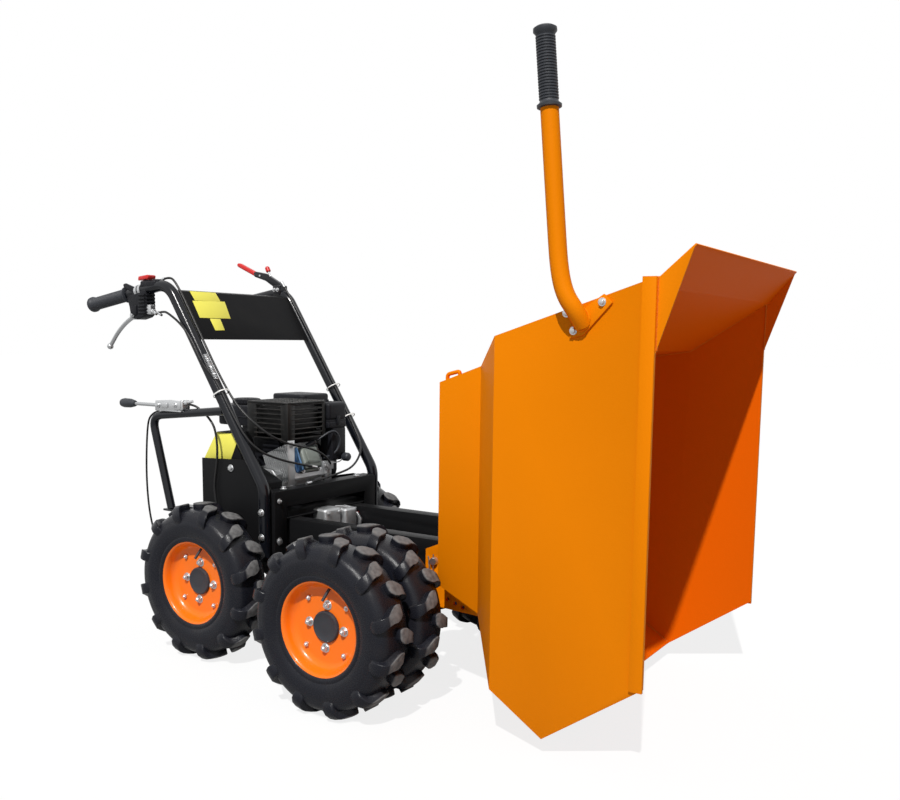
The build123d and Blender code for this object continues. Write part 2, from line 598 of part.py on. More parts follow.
def make_engine():
    base = RAIL_TOP + SHEET
    crankcase = block(CRANK_X - 95, CRANK_X + 85, -CRANKCASE_Y, CRANKCASE_Y, base, CRANKCASE_TOP)
    crankcase = chamfer(crankcase.edges().filter_by(Axis.Y), 14)
    stub = bar((CRANK_X, -CRANKCASE_Y - 33, CRANK_Z), (CRANK_X, -CRANKCASE_Y + 5, CRANK_Z), 12)
    export(crankcase + stub, "engine_block")
    cylinder = cylinder_piece(20, COVER_NEAR, 74, 88)
    pitch = (COVER_NEAR - FIRST_FIN) / FIN_COUNT
    for number in range(FIN_COUNT):
        near = FIRST_FIN + pitch * number
        cylinder = cylinder + cylinder_piece(near, near + 3, 98, 130)
    cylinder = (cylinder - crankcase).solids().sort_by(SortBy.VOLUME)[-1]
    export(cylinder, "cylinder")
    cover = cylinder_piece(COVER_NEAR, COVER_NEAR + COVER_DEPTH, 72, 74)
    cover = chamfer(cover.faces().sort_by(Axis.X)[-1].edges(), 7)
    export(cover, "valve_cover")
    pipe_x = -455.0
    muffler = block(-542, -424, -84, 34, 562, 636)
    muffler = chamfer(muffler.edges().filter_by(Axis.Y), 14)
    pipe = bar((pipe_x, -50, 480), (pipe_x, -50, 570), 13, 8) - cylinder - crankcase
    export(muffler + pipe.solids().sort_by(Axis.Z)[-1], "muffler")
    export(muffler_guard(), "muffler_guard")
    low, high = CRANK_Z - 38, GUARD_Z[0]
    stay = [(GUARD_FRONT - 3, high), (GUARD_FRONT, high), (GUARD_FRONT, low), (CRANK_X + 85, low),
            (CRANK_X + 85, low + 3), (GUARD_FRONT - 3, low + 3)]
    export(plate(stay, GUARD_Y[0], 24), "muffler_stay")
    fan = Pos(CRANK_X, CRANKCASE_Y, CRANK_Z + 15) * barrel([(0, 95), (48, 95)], 24)
    fan = fan + block(-640, -500, CRANKCASE_Y, CRANKCASE_Y + 48, CRANK_Z + 15, TANK_BOTTOM)
    cowl = block(-615, -478, -64, CRANKCASE_Y, CRANKCASE_TOP, GUARD_Z[0] - 3)
    cowl = cowl + block(-615, GUARD_BACK - 5, -64, CRANKCASE_Y, CRANKCASE_TOP, TANK_BOTTOM)
    fan = fan + (cowl - cylinder_piece(10, COVER_NEAR + 10, 101, 136))
    export(fan, "fan_housing")
    starter = barrel([(0, 78), (18, 70), (27, 40)], 16)
    starter = Pos(CRANK_X, CRANKCASE_Y + 48, CRANK_Z + 15) * starter
    export(starter, "recoil_starter")
    filter_box = block(*FILTER_X, *FILTER_Y, *FILTER_Z[1:])
    filter_box = filter_box + block(FILTER_X[1] - 48, FILTER_X[1], FILTER_Y[1] - 60, FILTER_Y[1], *FILTER_Z[:2])
    export(filter_box, "air_filter")
    carburettor = block(-446, -408, CYLINDER_Y + 65, 80, 455, FILTER_Z[0]) + bar((-427, 72, 424), (-427, 72, 455), 14)
    export(carburettor, "carburettor")
    tank = block(TANK_BACK, GUARD_BACK - 5, -80, 172, TANK_BOTTOM, TANK_BOTTOM + TANK_LOW)
    lobe = block(GUARD_BACK - 62, FILTER_X[0] - 5, GUARD_Y[1] + 3, 172, TANK_BOTTOM, TANK_BOTTOM + TANK_HIGH)
    tank = chamfer(tank.edges().filter_by(Axis.Z), 12) + chamfer(lobe.edges().filter_by(Axis.Z), 12)
    export(tank, "fuel_tank")
    top = TANK_BOTTOM + TANK_LOW
    cap = bar((-632, -28, top), (-632, -28, top + 16), 38, 16)
    export(cap, "fuel_cap")
    belt = [(-634, base), (-634, CHEEK_TOP - 4), (-584, 569), (-520, 569), (-506, 549), (-496, 486), (-404, 446),
            (-404, base)]
    outer_face = BELT_GUARD_INSET - CHEEK_Y
    export(plate(belt, outer_face, -CRANKCASE_Y - 33 - outer_face), "belt_guard")


# ---------------------------------------------------------------- skip
def skip_tub():
    """Open tub of bent sheet: a spine sheet runs round the back, floor and front,
    and a side sheet steps out over the tyres on each side."""
    tall = 1200.0
    half_narrow, half_wide = SKIP_NARROW / 2, SKIP_WIDE / 2
    section = [(SKIP_FLOOR_X, -half_narrow), (SKIP_WAIST_X, -half_narrow), (SKIP_SHOULDER_X, -half_wide),
               (SKIP_RIM_X + 200, -half_wide), (SKIP_RIM_X + 200, half_wide), (SKIP_SHOULDER_X, half_wide),
               (SKIP_WAIST_X, half_narrow), (SKIP_FLOOR_X, half_narrow)]
    envelope = extrude(make_face(Polyline([(x, y, 0) for x, y in section], close=True)), amount=tall)
    front = [SKIP_LIP, (SKIP_SHOULDER_X, SKIP_FRONT_SHOULDER_Z), (SKIP_WAIST_X, SKIP_FRONT_WAIST_Z),
             (SKIP_FLOOR_X, SKIP_FRONT_Z)]
    back = [(SKIP_FLOOR_X, SKIP_BACK_Z), (SKIP_WAIST_X, SKIP_BACK_WAIST_Z)]
    spine_line = front + back + [BACK_KNEE, (SKIP_RIM_X + 4, SKIP_BACK_RIM_Z - 18), HOOD_TIP]
    spine = Plane.XZ * bent_sheet(spine_line, SKIP_SHEET, Side.RIGHT)
    spine = Pos(0, half_wide, 0) * extrude(spine, amount=2 * half_wide)
    spine = spine & envelope
    side_line = [(SKIP_FLOOR_X, -half_narrow), (SKIP_WAIST_X, -half_narrow), (SKIP_SHOULDER_X, -half_wide),
                 (SKIP_RIM_X, -half_wide)]
    side = extrude(bent_sheet(side_line, SKIP_SHEET, Side.LEFT), amount=tall)
    profile = back + [(SKIP_SHOULDER_X, SKIP_BACK_SHOULDER_Z), (SKIP_RIM_X, SKIP_BACK_RIM_Z),
                      (SKIP_RIM_X, SKIP_FRONT_RIM_Z)] + front
    side = side & plate(profile, -half_wide - 10, half_wide)
    gusset = plate([(SKIP_RIM_X, 801), (SKIP_RIM_X, SKIP_BACK_RIM_Z), (SKIP_RIM_X + 4, SKIP_BACK_RIM_Z), HOOD_TIP],
                   -half_wide, SKIP_SHEET)
    band = block(SKIP_RIM_X - RIM_BAND, SKIP_RIM_X, -half_wide - RIM_BAND_DEPTH, -half_wide,
                 SKIP_FRONT_RIM_Z - 6, SKIP_BACK_RIM_Z)
    right = side + gusset + band
    return spine + right + left_of(right)


def hitch():
    """Right-hand hitch plate, outboard of the rail."""
    slope = (SKIP_FRONT_WAIST_Z - SKIP_FRONT_Z) / (SKIP_WAIST_X - SKIP_FLOOR_X)
    reach = SKIP_WAIST_X - 10
    outline = [(PIVOT_X - 26, PIVOT_Z + 26), (SKIP_FLOOR_X, PIVOT_Z + 60), (SKIP_FLOOR_X, SKIP_FRONT_Z),
               (reach, SKIP_FRONT_Z + slope * (reach - SKIP_FLOOR_X)), (SKIP_WAIST_X - 40, 192),
               (PIVOT_X - 20, 198), (PIVOT_X - 26, 230)]
    y = -RAIL_OUTER_Y - PLAY - HITCH_PLATE
    body = plate(outline, y, HITCH_PLATE)
    return body - rod((PIVOT_X, y - 1, PIVOT_Z), (PIVOT_X, y + HITCH_PLATE + 1, PIVOT_Z), PIN_RADIUS)


def pivot_pin():
    y = RAIL_OUTER_Y + PLAY + HITCH_PLATE
    pin = rod((PIVOT_X, -y - 10, PIVOT_Z), (PIVOT_X, -RAIL_OUTER_Y + RAIL_WIDTH + 4, PIVOT_Z), PIN_RADIUS)
    return pin


def dump_handle():
    """Tube handle welded to the plate that bolts it to the skip's right side."""
    y = -SKIP_WIDE / 2 - DUMP_PLATE
    foot = plate([(600, 907), (617, 891), (561, 832), (532, 826), (545, 870)], y, DUMP_PLATE)
    tube_y = y - DUMP_TUBE_RADIUS + 1
    top, bend = Vector(DUMP_TOP[0], tube_y, DUMP_TOP[1]), Vector(DUMP_BEND[0], tube_y, DUMP_BEND[1])
    end = top - (top - bend).normalized() * 6
    return foot + tube([(575, tube_y, 878), tuple(bend), tuple(end)], 60, DUMP_TUBE_RADIUS)


def dump_grip():
    """Rubber grip on the top of the dump handle."""
    tube_y = -SKIP_WIDE / 2 - DUMP_PLATE - DUMP_TUBE_RADIUS + 1
    end = Vector(DUMP_TOP[0], tube_y, DUMP_TOP[1])
    run = (end - Vector(DUMP_BEND[0], tube_y, DUMP_BEND[1])).normalized()
    start = end - run * DUMP_GRIP
    return sleeve(start, end, 18, DUMP_TUBE_RADIUS + GAP, 7)


def buffer():
    """Rubber stop on the right rail's nose, which the floor of the tipped skip rests against."""
    nose = PIVOT_X + RAIL_NOSE
    return block(nose, SKIP_FLOOR_X - GAP, -RAIL_OUTER_Y + 6, -RAIL_OUTER_Y + RAIL_WIDTH - 6,
                 PIVOT_Z - 24, PIVOT_Z - 2)


def latch():
    """Hook inside the left rail that holds the skip down, with its pivot on the rail."""
    inner = RAIL_OUTER_Y - RAIL_WIDTH
    back = gearbox_ends()[1] + LATCH_CLEARANCE
    outline = [(2, 334), (20, 338), (36, 318), (32, 296), (18, 282), (6, 286), (18, 300), (14, 314), (0, 318)]
    hook = plate([(back + x, z) for x, z in outline], inner - 14, 6)
    return hook + bar((back + 11, inner - 18, 326), (back + 11, inner, 326), 5, 8)


def make_skip():
    plates = hitch()
    tub = skip_tub()
    export(tub, "skip_tub")
    export(plates, "hitch_right")
    export(left_of(plates), "hitch_left")
    pin = pivot_pin()
    export(pair(pin), "pivot_pins")
    export(dump_handle(), "dump_handle")
    export(dump_grip(), "dump_grip")
    export(pair(buffer()), "buffers")
    export(latch(), "latch_hook")


make_wheels()
make_running_gear()
make_chassis()
make_handlebars()
make_engine()
make_controls()
make_cables()
make_skip()
print("origin", ORIGIN_X, "mm ahead of the front axle")
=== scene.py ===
# %% [markdown]
# # A walk-behind site dumper, dressed part by part
#
# The machine is a small tipping barrow with its own engine. Someone walks behind it, holds
# two long handlebars, and drives four small tractor tyres at the corners. The orange skip
# at the front is shown tipped forward. The measured solids come first, as a fixed frame,
# and each piece made here is placed from them, so that nothing has to be fitted by eye.

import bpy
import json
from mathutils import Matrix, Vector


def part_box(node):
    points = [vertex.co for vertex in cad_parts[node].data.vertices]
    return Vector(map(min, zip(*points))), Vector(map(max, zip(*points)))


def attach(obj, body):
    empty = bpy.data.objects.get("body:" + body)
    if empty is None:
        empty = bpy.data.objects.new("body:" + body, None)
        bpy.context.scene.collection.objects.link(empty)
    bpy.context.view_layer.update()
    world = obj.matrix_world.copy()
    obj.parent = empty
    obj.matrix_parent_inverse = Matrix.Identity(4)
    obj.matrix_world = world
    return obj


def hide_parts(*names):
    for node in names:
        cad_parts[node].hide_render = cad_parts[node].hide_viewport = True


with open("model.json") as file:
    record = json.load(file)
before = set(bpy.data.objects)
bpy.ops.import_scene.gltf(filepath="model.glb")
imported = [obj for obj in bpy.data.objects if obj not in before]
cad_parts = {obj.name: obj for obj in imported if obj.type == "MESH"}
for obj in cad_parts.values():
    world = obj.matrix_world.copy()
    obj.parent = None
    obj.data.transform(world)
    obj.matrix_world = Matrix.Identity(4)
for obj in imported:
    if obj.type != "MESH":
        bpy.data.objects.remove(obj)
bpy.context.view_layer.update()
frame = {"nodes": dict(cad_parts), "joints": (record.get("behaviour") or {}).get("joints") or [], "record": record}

# %% Tools for the lesson
import json
from math import cos, pi, radians, sin, tan

import bpy
from mathutils import Matrix, Vector

MM = 0.001

# %% [markdown]
# ## One frame for every size
#
# Sizes below are in millimetres from the front axle, because that is how one would measure
# the real machine: x forward, y to the machine's left, z up from the ground. The wheel
# joint tells where that axle lies in the model, and the tipping joint where the skip hangs.

# %% The axles and the tipping pin
joint_place = {joint["name"]: Vector(joint["pos_m"]) for joint in frame["joints"]}
front_axle = joint_place["front_right_wheel_turn"]
rear_axle = joint_place["rear_right_wheel_turn"]
tipping_pin = joint_place["skip_tip"]
WHEELBASE = round((front_axle.x - rear_axle.x) / MM)
AXLE_HEIGHT = round(front_axle.z / MM)
PIN_X, PIN_Z = round((tipping_pin.x - front_axle.x) / MM), round(tipping_pin.z / MM)


def at(x, y, z):
    """A place in millimetres from the front axle, as metres in the model."""
    return Vector((front_axle.x + x * MM, y * MM, z * MM))


def measured(node):
    """A solid's lowest and highest corners in millimetres from the front axle."""
    low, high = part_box(node)
    shift = Vector((front_axle.x, 0, 0))
    return tuple(round(v / MM, 1) for v in low - shift), tuple(round(v / MM, 1) for v in high - shift)


print("wheelbase", WHEELBASE, "mm, axle height", AXLE_HEIGHT, "mm, tipping pin at", PIN_X, PIN_Z)

# %% [markdown]
# ## Camera
#
# The machine is seen from its right front corner, a little above the grips, with a slightly
# long lens. The camera is turned about the upright axis first, then tipped down, then rolled
# by less than a degree. A small lens shift puts the machine where it sits in the frame.

# %% The camera
CAMERA_PLACE = (1306.4, -1942.9, 824.0)
CAMERA_TURN = 31.68
CAMERA_DOWN = 7.02
CAMERA_ROLL = 0.78

lens_data = bpy.data.cameras.new("front_corner_view")
lens_data.lens = 37.63
lens_data.sensor_width = 36.0
lens_data.shift_x = -0.0274
lens_data.shift_y = 0.0601
lens_data.clip_end = 60.0
camera = bpy.data.objects.new("front_corner_view", lens_data)
bpy.context.scene.collection.objects.link(camera)
turn = Matrix.Rotation(radians(CAMERA_TURN), 4, "Z")
tip = Matrix.Rotation(radians(90 - CAMERA_DOWN), 4, "X")
roll = Matrix.Rotation(radians(CAMERA_ROLL), 4, "Z")
camera.matrix_world = Matrix.Translation(at(*CAMERA_PLACE)) @ turn @ tip @ roll
bpy.context.scene.camera = camera
bpy.context.scene.view_settings.view_transform = "Standard"
print("camera stands at", tuple(round(v, 2) for v in camera.location))

# %% [markdown]
# ## Node helpers
#
# Light, floor and finishes are all built from shader nodes. One helper adds a node with its
# values and links, another lays one colour or number over another.

# %% Adding a node, blending two values
def step(tree, kind, *values, **settings):
    """Adds a node: sockets or plain values go to its inputs in order, settings to its properties."""
    node = tree.nodes.new(kind)
    for name, value in settings.items():
        setattr(node, name, value)
    for socket, value in zip(node.inputs, values):
        if isinstance(value, bpy.types.NodeSocket):
            tree.links.new(value, socket)
        elif value is not None:
            socket.default_value = value
    return node


def blend(tree, share, under, over):
    """Colour or number under, covered by over where share is 1."""
    number = isinstance(under, (int, float)) or getattr(under, "type", "") == "VALUE"
    node = tree.nodes.new("ShaderNodeMix")
    node.data_type = "FLOAT" if number else "RGBA"
    ends = (node.inputs["A"], node.inputs["B"]) if number else (node.inputs[6], node.inputs[7])
    for socket, value in ((node.inputs[0], share), (ends[0], under), (ends[1], over)):
        if isinstance(value, bpy.types.NodeSocket):
            tree.links.new(value, socket)
        else:
            socket.default_value = value
    return node.outputs["Result"] if number else node.outputs[2]


print("node helpers ready")

# %% [markdown]
# ## Light
#
# Outdoor light is one strong lamp and a bright sky. A sun lamp gives the main light and
# crisp shadows, and the world gives the sky's share. What the camera and the shiny
# parts see behind the machine is plain white, so Light Path picks between the two.

# %% Sun and sky
TOWARD_SUN = Vector((0.27, -0.71, 0.92))
SKY_STRENGTH = 0.22

sun_data = bpy.data.lights.new("main_light", "SUN")
sun_data.energy = 3.65
sun_data.angle = radians(1)
sun_data.color = (1.0, 0.985, 0.96)
sun = bpy.data.objects.new("main_light", sun_data)
bpy.context.scene.collection.objects.link(sun)
sun.rotation_euler = TOWARD_SUN.to_track_quat("Z", "Y").to_euler()

sky = bpy.data.worlds.new("plain_sky")
bpy.context.scene.world = sky
sky.use_nodes = True
sky_tree = sky.node_tree
sky_tree.nodes.clear()
sky_light = step(sky_tree, "ShaderNodeBackground", (0.86, 0.93, 1.0, 1), SKY_STRENGTH)
white_behind = step(sky_tree, "ShaderNodeBackground", (1, 1, 1, 1))
rays = step(sky_tree, "ShaderNodeLightPath").outputs
seen_or_mirrored = step(sky_tree, "ShaderNodeMath", rays["Is Camera Ray"], rays["Is Glossy Ray"],
                        operation="ADD")
seen_at_all = step(sky_tree, "ShaderNodeMath", seen_or_mirrored.outputs[0], rays["Is Transmission Ray"],
                   operation="ADD", use_clamp=True)
pick = step(sky_tree, "ShaderNodeMixShader", seen_at_all.outputs[0], sky_light.outputs[0],
            white_behind.outputs[0])
step(sky_tree, "ShaderNodeOutputWorld", pick.outputs[0])
print("sun", sun_data.energy, "and sky", SKY_STRENGTH)

# %% [markdown]
# ## Floor
#
# The floor is a wide pale sheet that takes the machine's shadow. For the camera it is partly
# its own white, so that it meets the white behind it without a line.

# %% The floor
bpy.ops.object.select_all(action="DESELECT")
bpy.ops.mesh.primitive_plane_add(size=60, location=(0, 0, 0))
floor = bpy.context.object
floor.name = "pale_floor"
pale = bpy.data.materials.new("pale_floor")
pale.use_nodes = True
pale_tree = pale.node_tree
pale_body = pale_tree.nodes["Principled BSDF"]
pale_body.inputs["Roughness"].default_value = 0.95
own_white = step(pale_tree, "ShaderNodeEmission", None, 1.0)
seen_floor = step(pale_tree, "ShaderNodeLightPath").outputs["Is Camera Ray"]
own_share = step(pale_tree, "ShaderNodeMath", seen_floor, 0.82, operation="MULTIPLY")
floor_tone = blend(pale_tree, seen_floor, (0.45, 0.45, 0.45, 1), (0.95, 0.95, 0.95, 1))
pale_tree.links.new(floor_tone, pale_body.inputs["Base Color"])
floor_mix = step(pale_tree, "ShaderNodeMixShader", own_share.outputs[0], pale_body.outputs[0],
                 own_white.outputs[0])
pale_tree.links.new(floor_mix.outputs[0], pale_tree.nodes["Material Output"].inputs["Surface"])
floor.data.materials.append(pale)
print("floor laid at height", floor.location.z)

# %% [markdown]
# ## Effects that several finishes share
#
# Every real surface has a fine texture, slow changes of tone, bright worn edges and a little
# dust that settles on what faces up. Each effect is a node group made once here, with named
# sockets, and each finish further down uses it with its own amounts.

# %% A helper that starts a shared effect
NUMBER = "NodeSocketFloat"


def shared_effect(name, takes, gives):
    """A node group with named inputs (kind, value) and outputs (kind)."""
    group = bpy.data.node_groups.new(name, "ShaderNodeTree")
    for label, (kind, value) in takes.items():
        group.interface.new_socket(name=label, in_out="INPUT", socket_type=kind).default_value = value
    for label, kind in gives.items():
        group.interface.new_socket(name=label, in_out="OUTPUT", socket_type=kind)
    return group, group.nodes.new("NodeGroupInput"), group.nodes.new("NodeGroupOutput")


# %% Fine grain
grain, grain_in, grain_out = shared_effect(
    "fine_grain", {"Size": (NUMBER, 400.0), "Roughness": (NUMBER, 0.6)}, {"Height": NUMBER, "Tone": NUMBER})
place = step(grain, "ShaderNodeTexCoord")
fine = step(grain, "ShaderNodeTexNoise")
grain.links.new(place.outputs["Object"], fine.inputs["Vector"])
grain.links.new(grain_in.outputs["Size"], fine.inputs["Scale"])
grain.links.new(grain_in.outputs["Roughness"], fine.inputs["Roughness"])
fine.inputs["Detail"].default_value = 3.0
slow = step(grain, "ShaderNodeTexNoise", place.outputs["Object"], None, 3.5, 4.0)
grain.links.new(fine.outputs["Fac"], grain_out.inputs["Height"])
grain.links.new(slow.outputs["Fac"], grain_out.inputs["Tone"])
print("made", grain.name)

# %% Worn edges
wear, wear_in, wear_out = shared_effect(
    "worn_edges", {"Width": (NUMBER, 0.0015), "Amount": (NUMBER, 0.5)}, {"Mask": NUMBER})
rounded_normal = step(wear, "ShaderNodeBevel", samples=4)
wear.links.new(wear_in.outputs["Width"], rounded_normal.inputs["Radius"])
true_normal = step(wear, "ShaderNodeNewGeometry")
agree = step(wear, "ShaderNodeVectorMath", rounded_normal.outputs[0], true_normal.outputs["Normal"],
             operation="DOT_PRODUCT")
edge = step(wear, "ShaderNodeMapRange", agree.outputs["Value"], 0.995, 0.86, 0.0, 1.0)
wear_place = step(wear, "ShaderNodeTexCoord")
patchy = step(wear, "ShaderNodeTexNoise", wear_place.outputs["Object"], None, 60.0)
patches = step(wear, "ShaderNodeMapRange", patchy.outputs["Fac"], 0.42, 0.68, 0.0, 1.0)
both = step(wear, "ShaderNodeMath", edge.outputs[0], patches.outputs[0], operation="MULTIPLY")
dosed = step(wear, "ShaderNodeMath", both.outputs[0], wear_in.outputs["Amount"], operation="MULTIPLY",
             use_clamp=True)
wear.links.new(dosed.outputs[0], wear_out.inputs["Mask"])
print("made", wear.name)

# %% Dust that settles on what faces up
dust, dust_in, dust_out = shared_effect("settled_dust", {"Amount": (NUMBER, 0.2)}, {"Mask": NUMBER})
faces = step(dust, "ShaderNodeNewGeometry")
upward = step(dust, "ShaderNodeSeparateXYZ", faces.outputs["Normal"])
lies = step(dust, "ShaderNodeMapRange", upward.outputs["Z"], 0.1, 1.0, 0.25, 1.0)
dust_place = step(dust, "ShaderNodeTexCoord")
cloud = step(dust, "ShaderNodeTexNoise", dust_place.outputs["Object"], None, 22.0, 6.0)
drift = step(dust, "ShaderNodeMapRange", cloud.outputs["Fac"], 0.45, 0.75, 0.0, 1.0)
lying = step(dust, "ShaderNodeMath", lies.outputs[0], drift.outputs[0], operation="MULTIPLY")
dusted = step(dust, "ShaderNodeMath", lying.outputs[0], dust_in.outputs["Amount"], operation="MULTIPLY",
              use_clamp=True)
dust.links.new(dusted.outputs[0], dust_out.inputs["Mask"])
print("made", dust.name)

# %% [markdown]
# ## Finishes
#
# One recipe serves most of the machine: a base colour that drifts a little in tone, fine
# grain in the bump, bare metal showing on worn edges, and dust. What changes from finish to
# finish is only the amounts, so the recipe is a function and the finishes are its calls.

# %% The recipe for a finish
DUST_COLOUR = (0.30, 0.25, 0.19, 1)


def placed_group(tree, group, **amounts):
    """Places a shared effect in a material with its own amounts."""
    node = tree.nodes.new("ShaderNodeGroup")
    node.node_tree = group
    for label, value in amounts.items():
        node.inputs[label].default_value = value
    return node


def make_finish(name, colour, roughness, metallic=0.0, coat=0.0, grain_size=900.0, bump=0.0004,
                drift=0.12, worn=0.0, worn_colour=(0.32, 0.31, 0.30, 1), dusty=0.1, shine=0.5):
    """A procedural finish with drift of tone, grain, worn edges and dust."""
    material = bpy.data.materials.new(name)
    material.use_nodes = True
    tree = material.node_tree
    body = tree.nodes["Principled BSDF"]
    texture = placed_group(tree, grain, Size=grain_size)
    lighter = tuple(min(1.0, c * (1 + drift) + drift * 0.02) for c in colour) + (1,)
    darker = tuple(c * (1 - drift) for c in colour) + (1,)
    drifting = blend(tree, texture.outputs["Tone"], darker, lighter)
    rough = blend(tree, texture.outputs["Height"], max(0.02, roughness - 0.05), roughness + 0.07)
    if worn:
        edges = placed_group(tree, wear, Amount=worn)
        drifting = blend(tree, edges.outputs["Mask"], drifting, worn_colour)
    if dusty:
        settled = placed_group(tree, dust, Amount=dusty)
        drifting = blend(tree, settled.outputs["Mask"], drifting, DUST_COLOUR)
        rough = blend(tree, settled.outputs["Mask"], rough, 0.9)
    tree.links.new(drifting, body.inputs["Base Color"])
    tree.links.new(rough, body.inputs["Roughness"])
    body.inputs["Metallic"].default_value = metallic
    body.inputs["Coat Weight"].default_value = coat
    body.inputs["Specular IOR Level"].default_value = shine
    body.inputs["Coat Roughness"].default_value = 0.12
    relief = tree.nodes.new("ShaderNodeBump")
    relief.inputs["Distance"].default_value = bump
    relief.inputs["Strength"].default_value = 0.6
    tree.links.new(texture.outputs["Height"], relief.inputs["Height"])
    tree.links.new(relief.outputs[0], body.inputs["Normal"])
    return material


# %% The machine's finishes
skip_paint = make_finish("orange_paint", (0.80, 0.215, 0.0), 0.5, grain_size=260, bump=0.0006, drift=0.05,
                         worn=0.25, worn_colour=(0.45, 0.08, 0.0, 1), dusty=0.0, shine=0.05)
# Painted shade: the skip's inside faces get this redder, darker orange in place of the shade that falls inside the
# tub.
PAINTED_SHADE_ORANGE = (0.76, 0.115, 0.0, 1)
rim_paint = make_finish("rim_paint", (0.90, 0.17, 0.002), 0.3, coat=0.25, grain_size=200, bump=0.0004,
                        drift=0.05, dusty=0.01, shine=0.3)
frame_paint = make_finish("black_paint", (0.0070, 0.0072, 0.0080), 0.42, grain_size=500, bump=0.0005,
                          worn=0.2, worn_colour=(0.12, 0.12, 0.12, 1), dusty=0.01, shine=0.06)
# Black paint with a blue tint in its base colour: the tint is a painted bluish sheen, a painted reflection of the
# sky on the tubes.
tube_paint = make_finish("tube_paint", (0.004, 0.005, 0.008), 0.16, grain_size=300, bump=0.0002,
                         worn=0.1, dusty=0.01, shine=0.35)
guard_paint = make_finish("heatproof_black", (0.006, 0.006, 0.006), 0.38, grain_size=900, bump=0.0004,
                          worn=0.5, worn_colour=(0.16, 0.14, 0.12, 1), dusty=0.01, shine=0.3)
engine_plastic = make_finish("grained_plastic", (0.0085, 0.009, 0.012), 0.42, grain_size=1500, bump=0.0005,
                             dusty=0.015, shine=0.16)
rubber = make_finish("soft_rubber", (0.022, 0.025, 0.032), 0.46, grain_size=1100, bump=0.0005, dusty=0.03,
                     shine=0.45)
cast_aluminium = make_finish("cast_aluminium", (0.46, 0.47, 0.48), 0.42, metallic=0.85, grain_size=700,
                             bump=0.0014, drift=0.22, dusty=0.12)
cover_paint = make_finish("cover_paint", (0.21, 0.235, 0.215), 0.42, metallic=0.35, grain_size=600,
                          bump=0.0008, dusty=0.06, shine=0.4)
blue_steel = make_finish("blue_steel", (0.10, 0.20, 0.36), 0.28, metallic=0.8, grain_size=500, bump=0.0003,
                         dusty=0.04)
zinc = make_finish("zinc", (0.60, 0.61, 0.62), 0.3, metallic=0.9, grain_size=500, bump=0.0004, drift=0.2,
                   dusty=0.06)
lever_metal = make_finish("lever_metal", (0.50, 0.51, 0.52), 0.25, metallic=0.95, grain_size=400, bump=0.0002,
                          dusty=0.03)
red_plastic = make_finish("red_plastic", (0.60, 0.012, 0.010), 0.3, grain_size=700, bump=0.0002, dusty=0.02)
cable_sheath = make_finish("cable_sheath", (0.008, 0.008, 0.009), 0.36, grain_size=900, bump=0.0002,
                           dusty=0.02, shine=0.35)
white_plastic = make_finish("white_nylon", (0.82, 0.82, 0.80), 0.4, grain_size=800, bump=0.0002, dusty=0.03)
yellow_plate = make_finish("blank_yellow_plate", (0.87, 0.81, 0.13), 0.42, grain_size=600, bump=0.0002,
                           drift=0.05, dusty=0.02, shine=0.2)
seam_orange = make_finish("weld_orange", (0.70, 0.14, 0.002), 0.45, grain_size=350, bump=0.0025, drift=0.15,
                          dusty=0.03, shine=0.2)
slot_finish = {
    "skip_paint": skip_paint, "rim_paint": rim_paint, "frame_paint": frame_paint, "rubber": rubber,
    "engine_plastic": engine_plastic, "cast_aluminium": cast_aluminium, "guard_paint": guard_paint,
    "cover_paint": cover_paint, "zinc": zinc, "lever_metal": lever_metal, "red_plastic": red_plastic,
    "cable_sheath": cable_sheath, "white_plastic": white_plastic,
}
print("finishes:", len(bpy.data.materials))

# %% [markdown]
# ## Hand tools
#
# A piece is always made the same way: deselect everything, add a primitive, put its corners
# where the sizes say, shape it in edit mode, soften its edges with a Bevel modifier, and
# hand it over with its finish, the body it rides on and the solids it stands for.

# %% Selecting, editing and applying
def clear_selection():
    if bpy.context.mode != "OBJECT":
        bpy.ops.object.mode_set(mode="OBJECT")
    bpy.ops.object.select_all(action="DESELECT")


def choose(piece):
    clear_selection()
    piece.select_set(True)
    bpy.context.view_layer.objects.active = piece
    return piece


def named(name):
    """The primitive that was just added, with its place moved into its mesh."""
    piece = bpy.context.object
    piece.name = name
    piece.data.name = name
    bpy.ops.object.transform_apply(location=True, rotation=True, scale=True)
    return piece


def edit_all(piece):
    choose(piece)
    bpy.ops.object.mode_set(mode="EDIT")
    bpy.ops.mesh.select_all(action="SELECT")


def modify(piece, kind, **settings):
    """Adds a modifier with these settings and applies it."""
    choose(piece)
    modifier = piece.modifiers.new(kind.lower(), kind)
    for name, value in settings.items():
        setattr(modifier, name, value)
    bpy.ops.object.modifier_apply(modifier=modifier.name)
    return piece


def soften(piece, width, steps=2, angle=30):
    """Rounds the sharp edges by a width in millimetres."""
    return modify(piece, "BEVEL", width=width * MM, segments=steps, limit_method="ANGLE",
                  angle_limit=radians(angle), harden_normals=False)


def outward(piece):
    edit_all(piece)
    bpy.ops.mesh.remove_doubles(threshold=0.00002)
    bpy.ops.mesh.normals_make_consistent(inside=False)
    bpy.ops.object.mode_set(mode="OBJECT")
    return piece


# %% Finishing, copying and joining
made = {}


def finish_piece(piece, body, slot, *stands_for, finish=None, smooth=32):
    """Gives a piece its slot's finish or its own, its body, and the solids that it stands for."""
    choose(piece)
    piece.data.materials.clear()
    piece.data.materials.append(finish or slot_finish[slot])
    bpy.ops.object.shade_smooth_by_angle(angle=radians(smooth))
    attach(piece, body)
    if stands_for:
        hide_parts(*stands_for)
    made[piece.name] = len(piece.data.polygons)
    return piece


def copy_of(piece, name, move=None):
    """A copy with its own mesh, moved by a matrix."""
    twin = bpy.data.objects.new(name, piece.data.copy())
    bpy.context.scene.collection.objects.link(twin)
    if move is not None:
        twin.data.transform(move)
        if move.determinant() < 0:
            twin.data.flip_normals()
    return twin


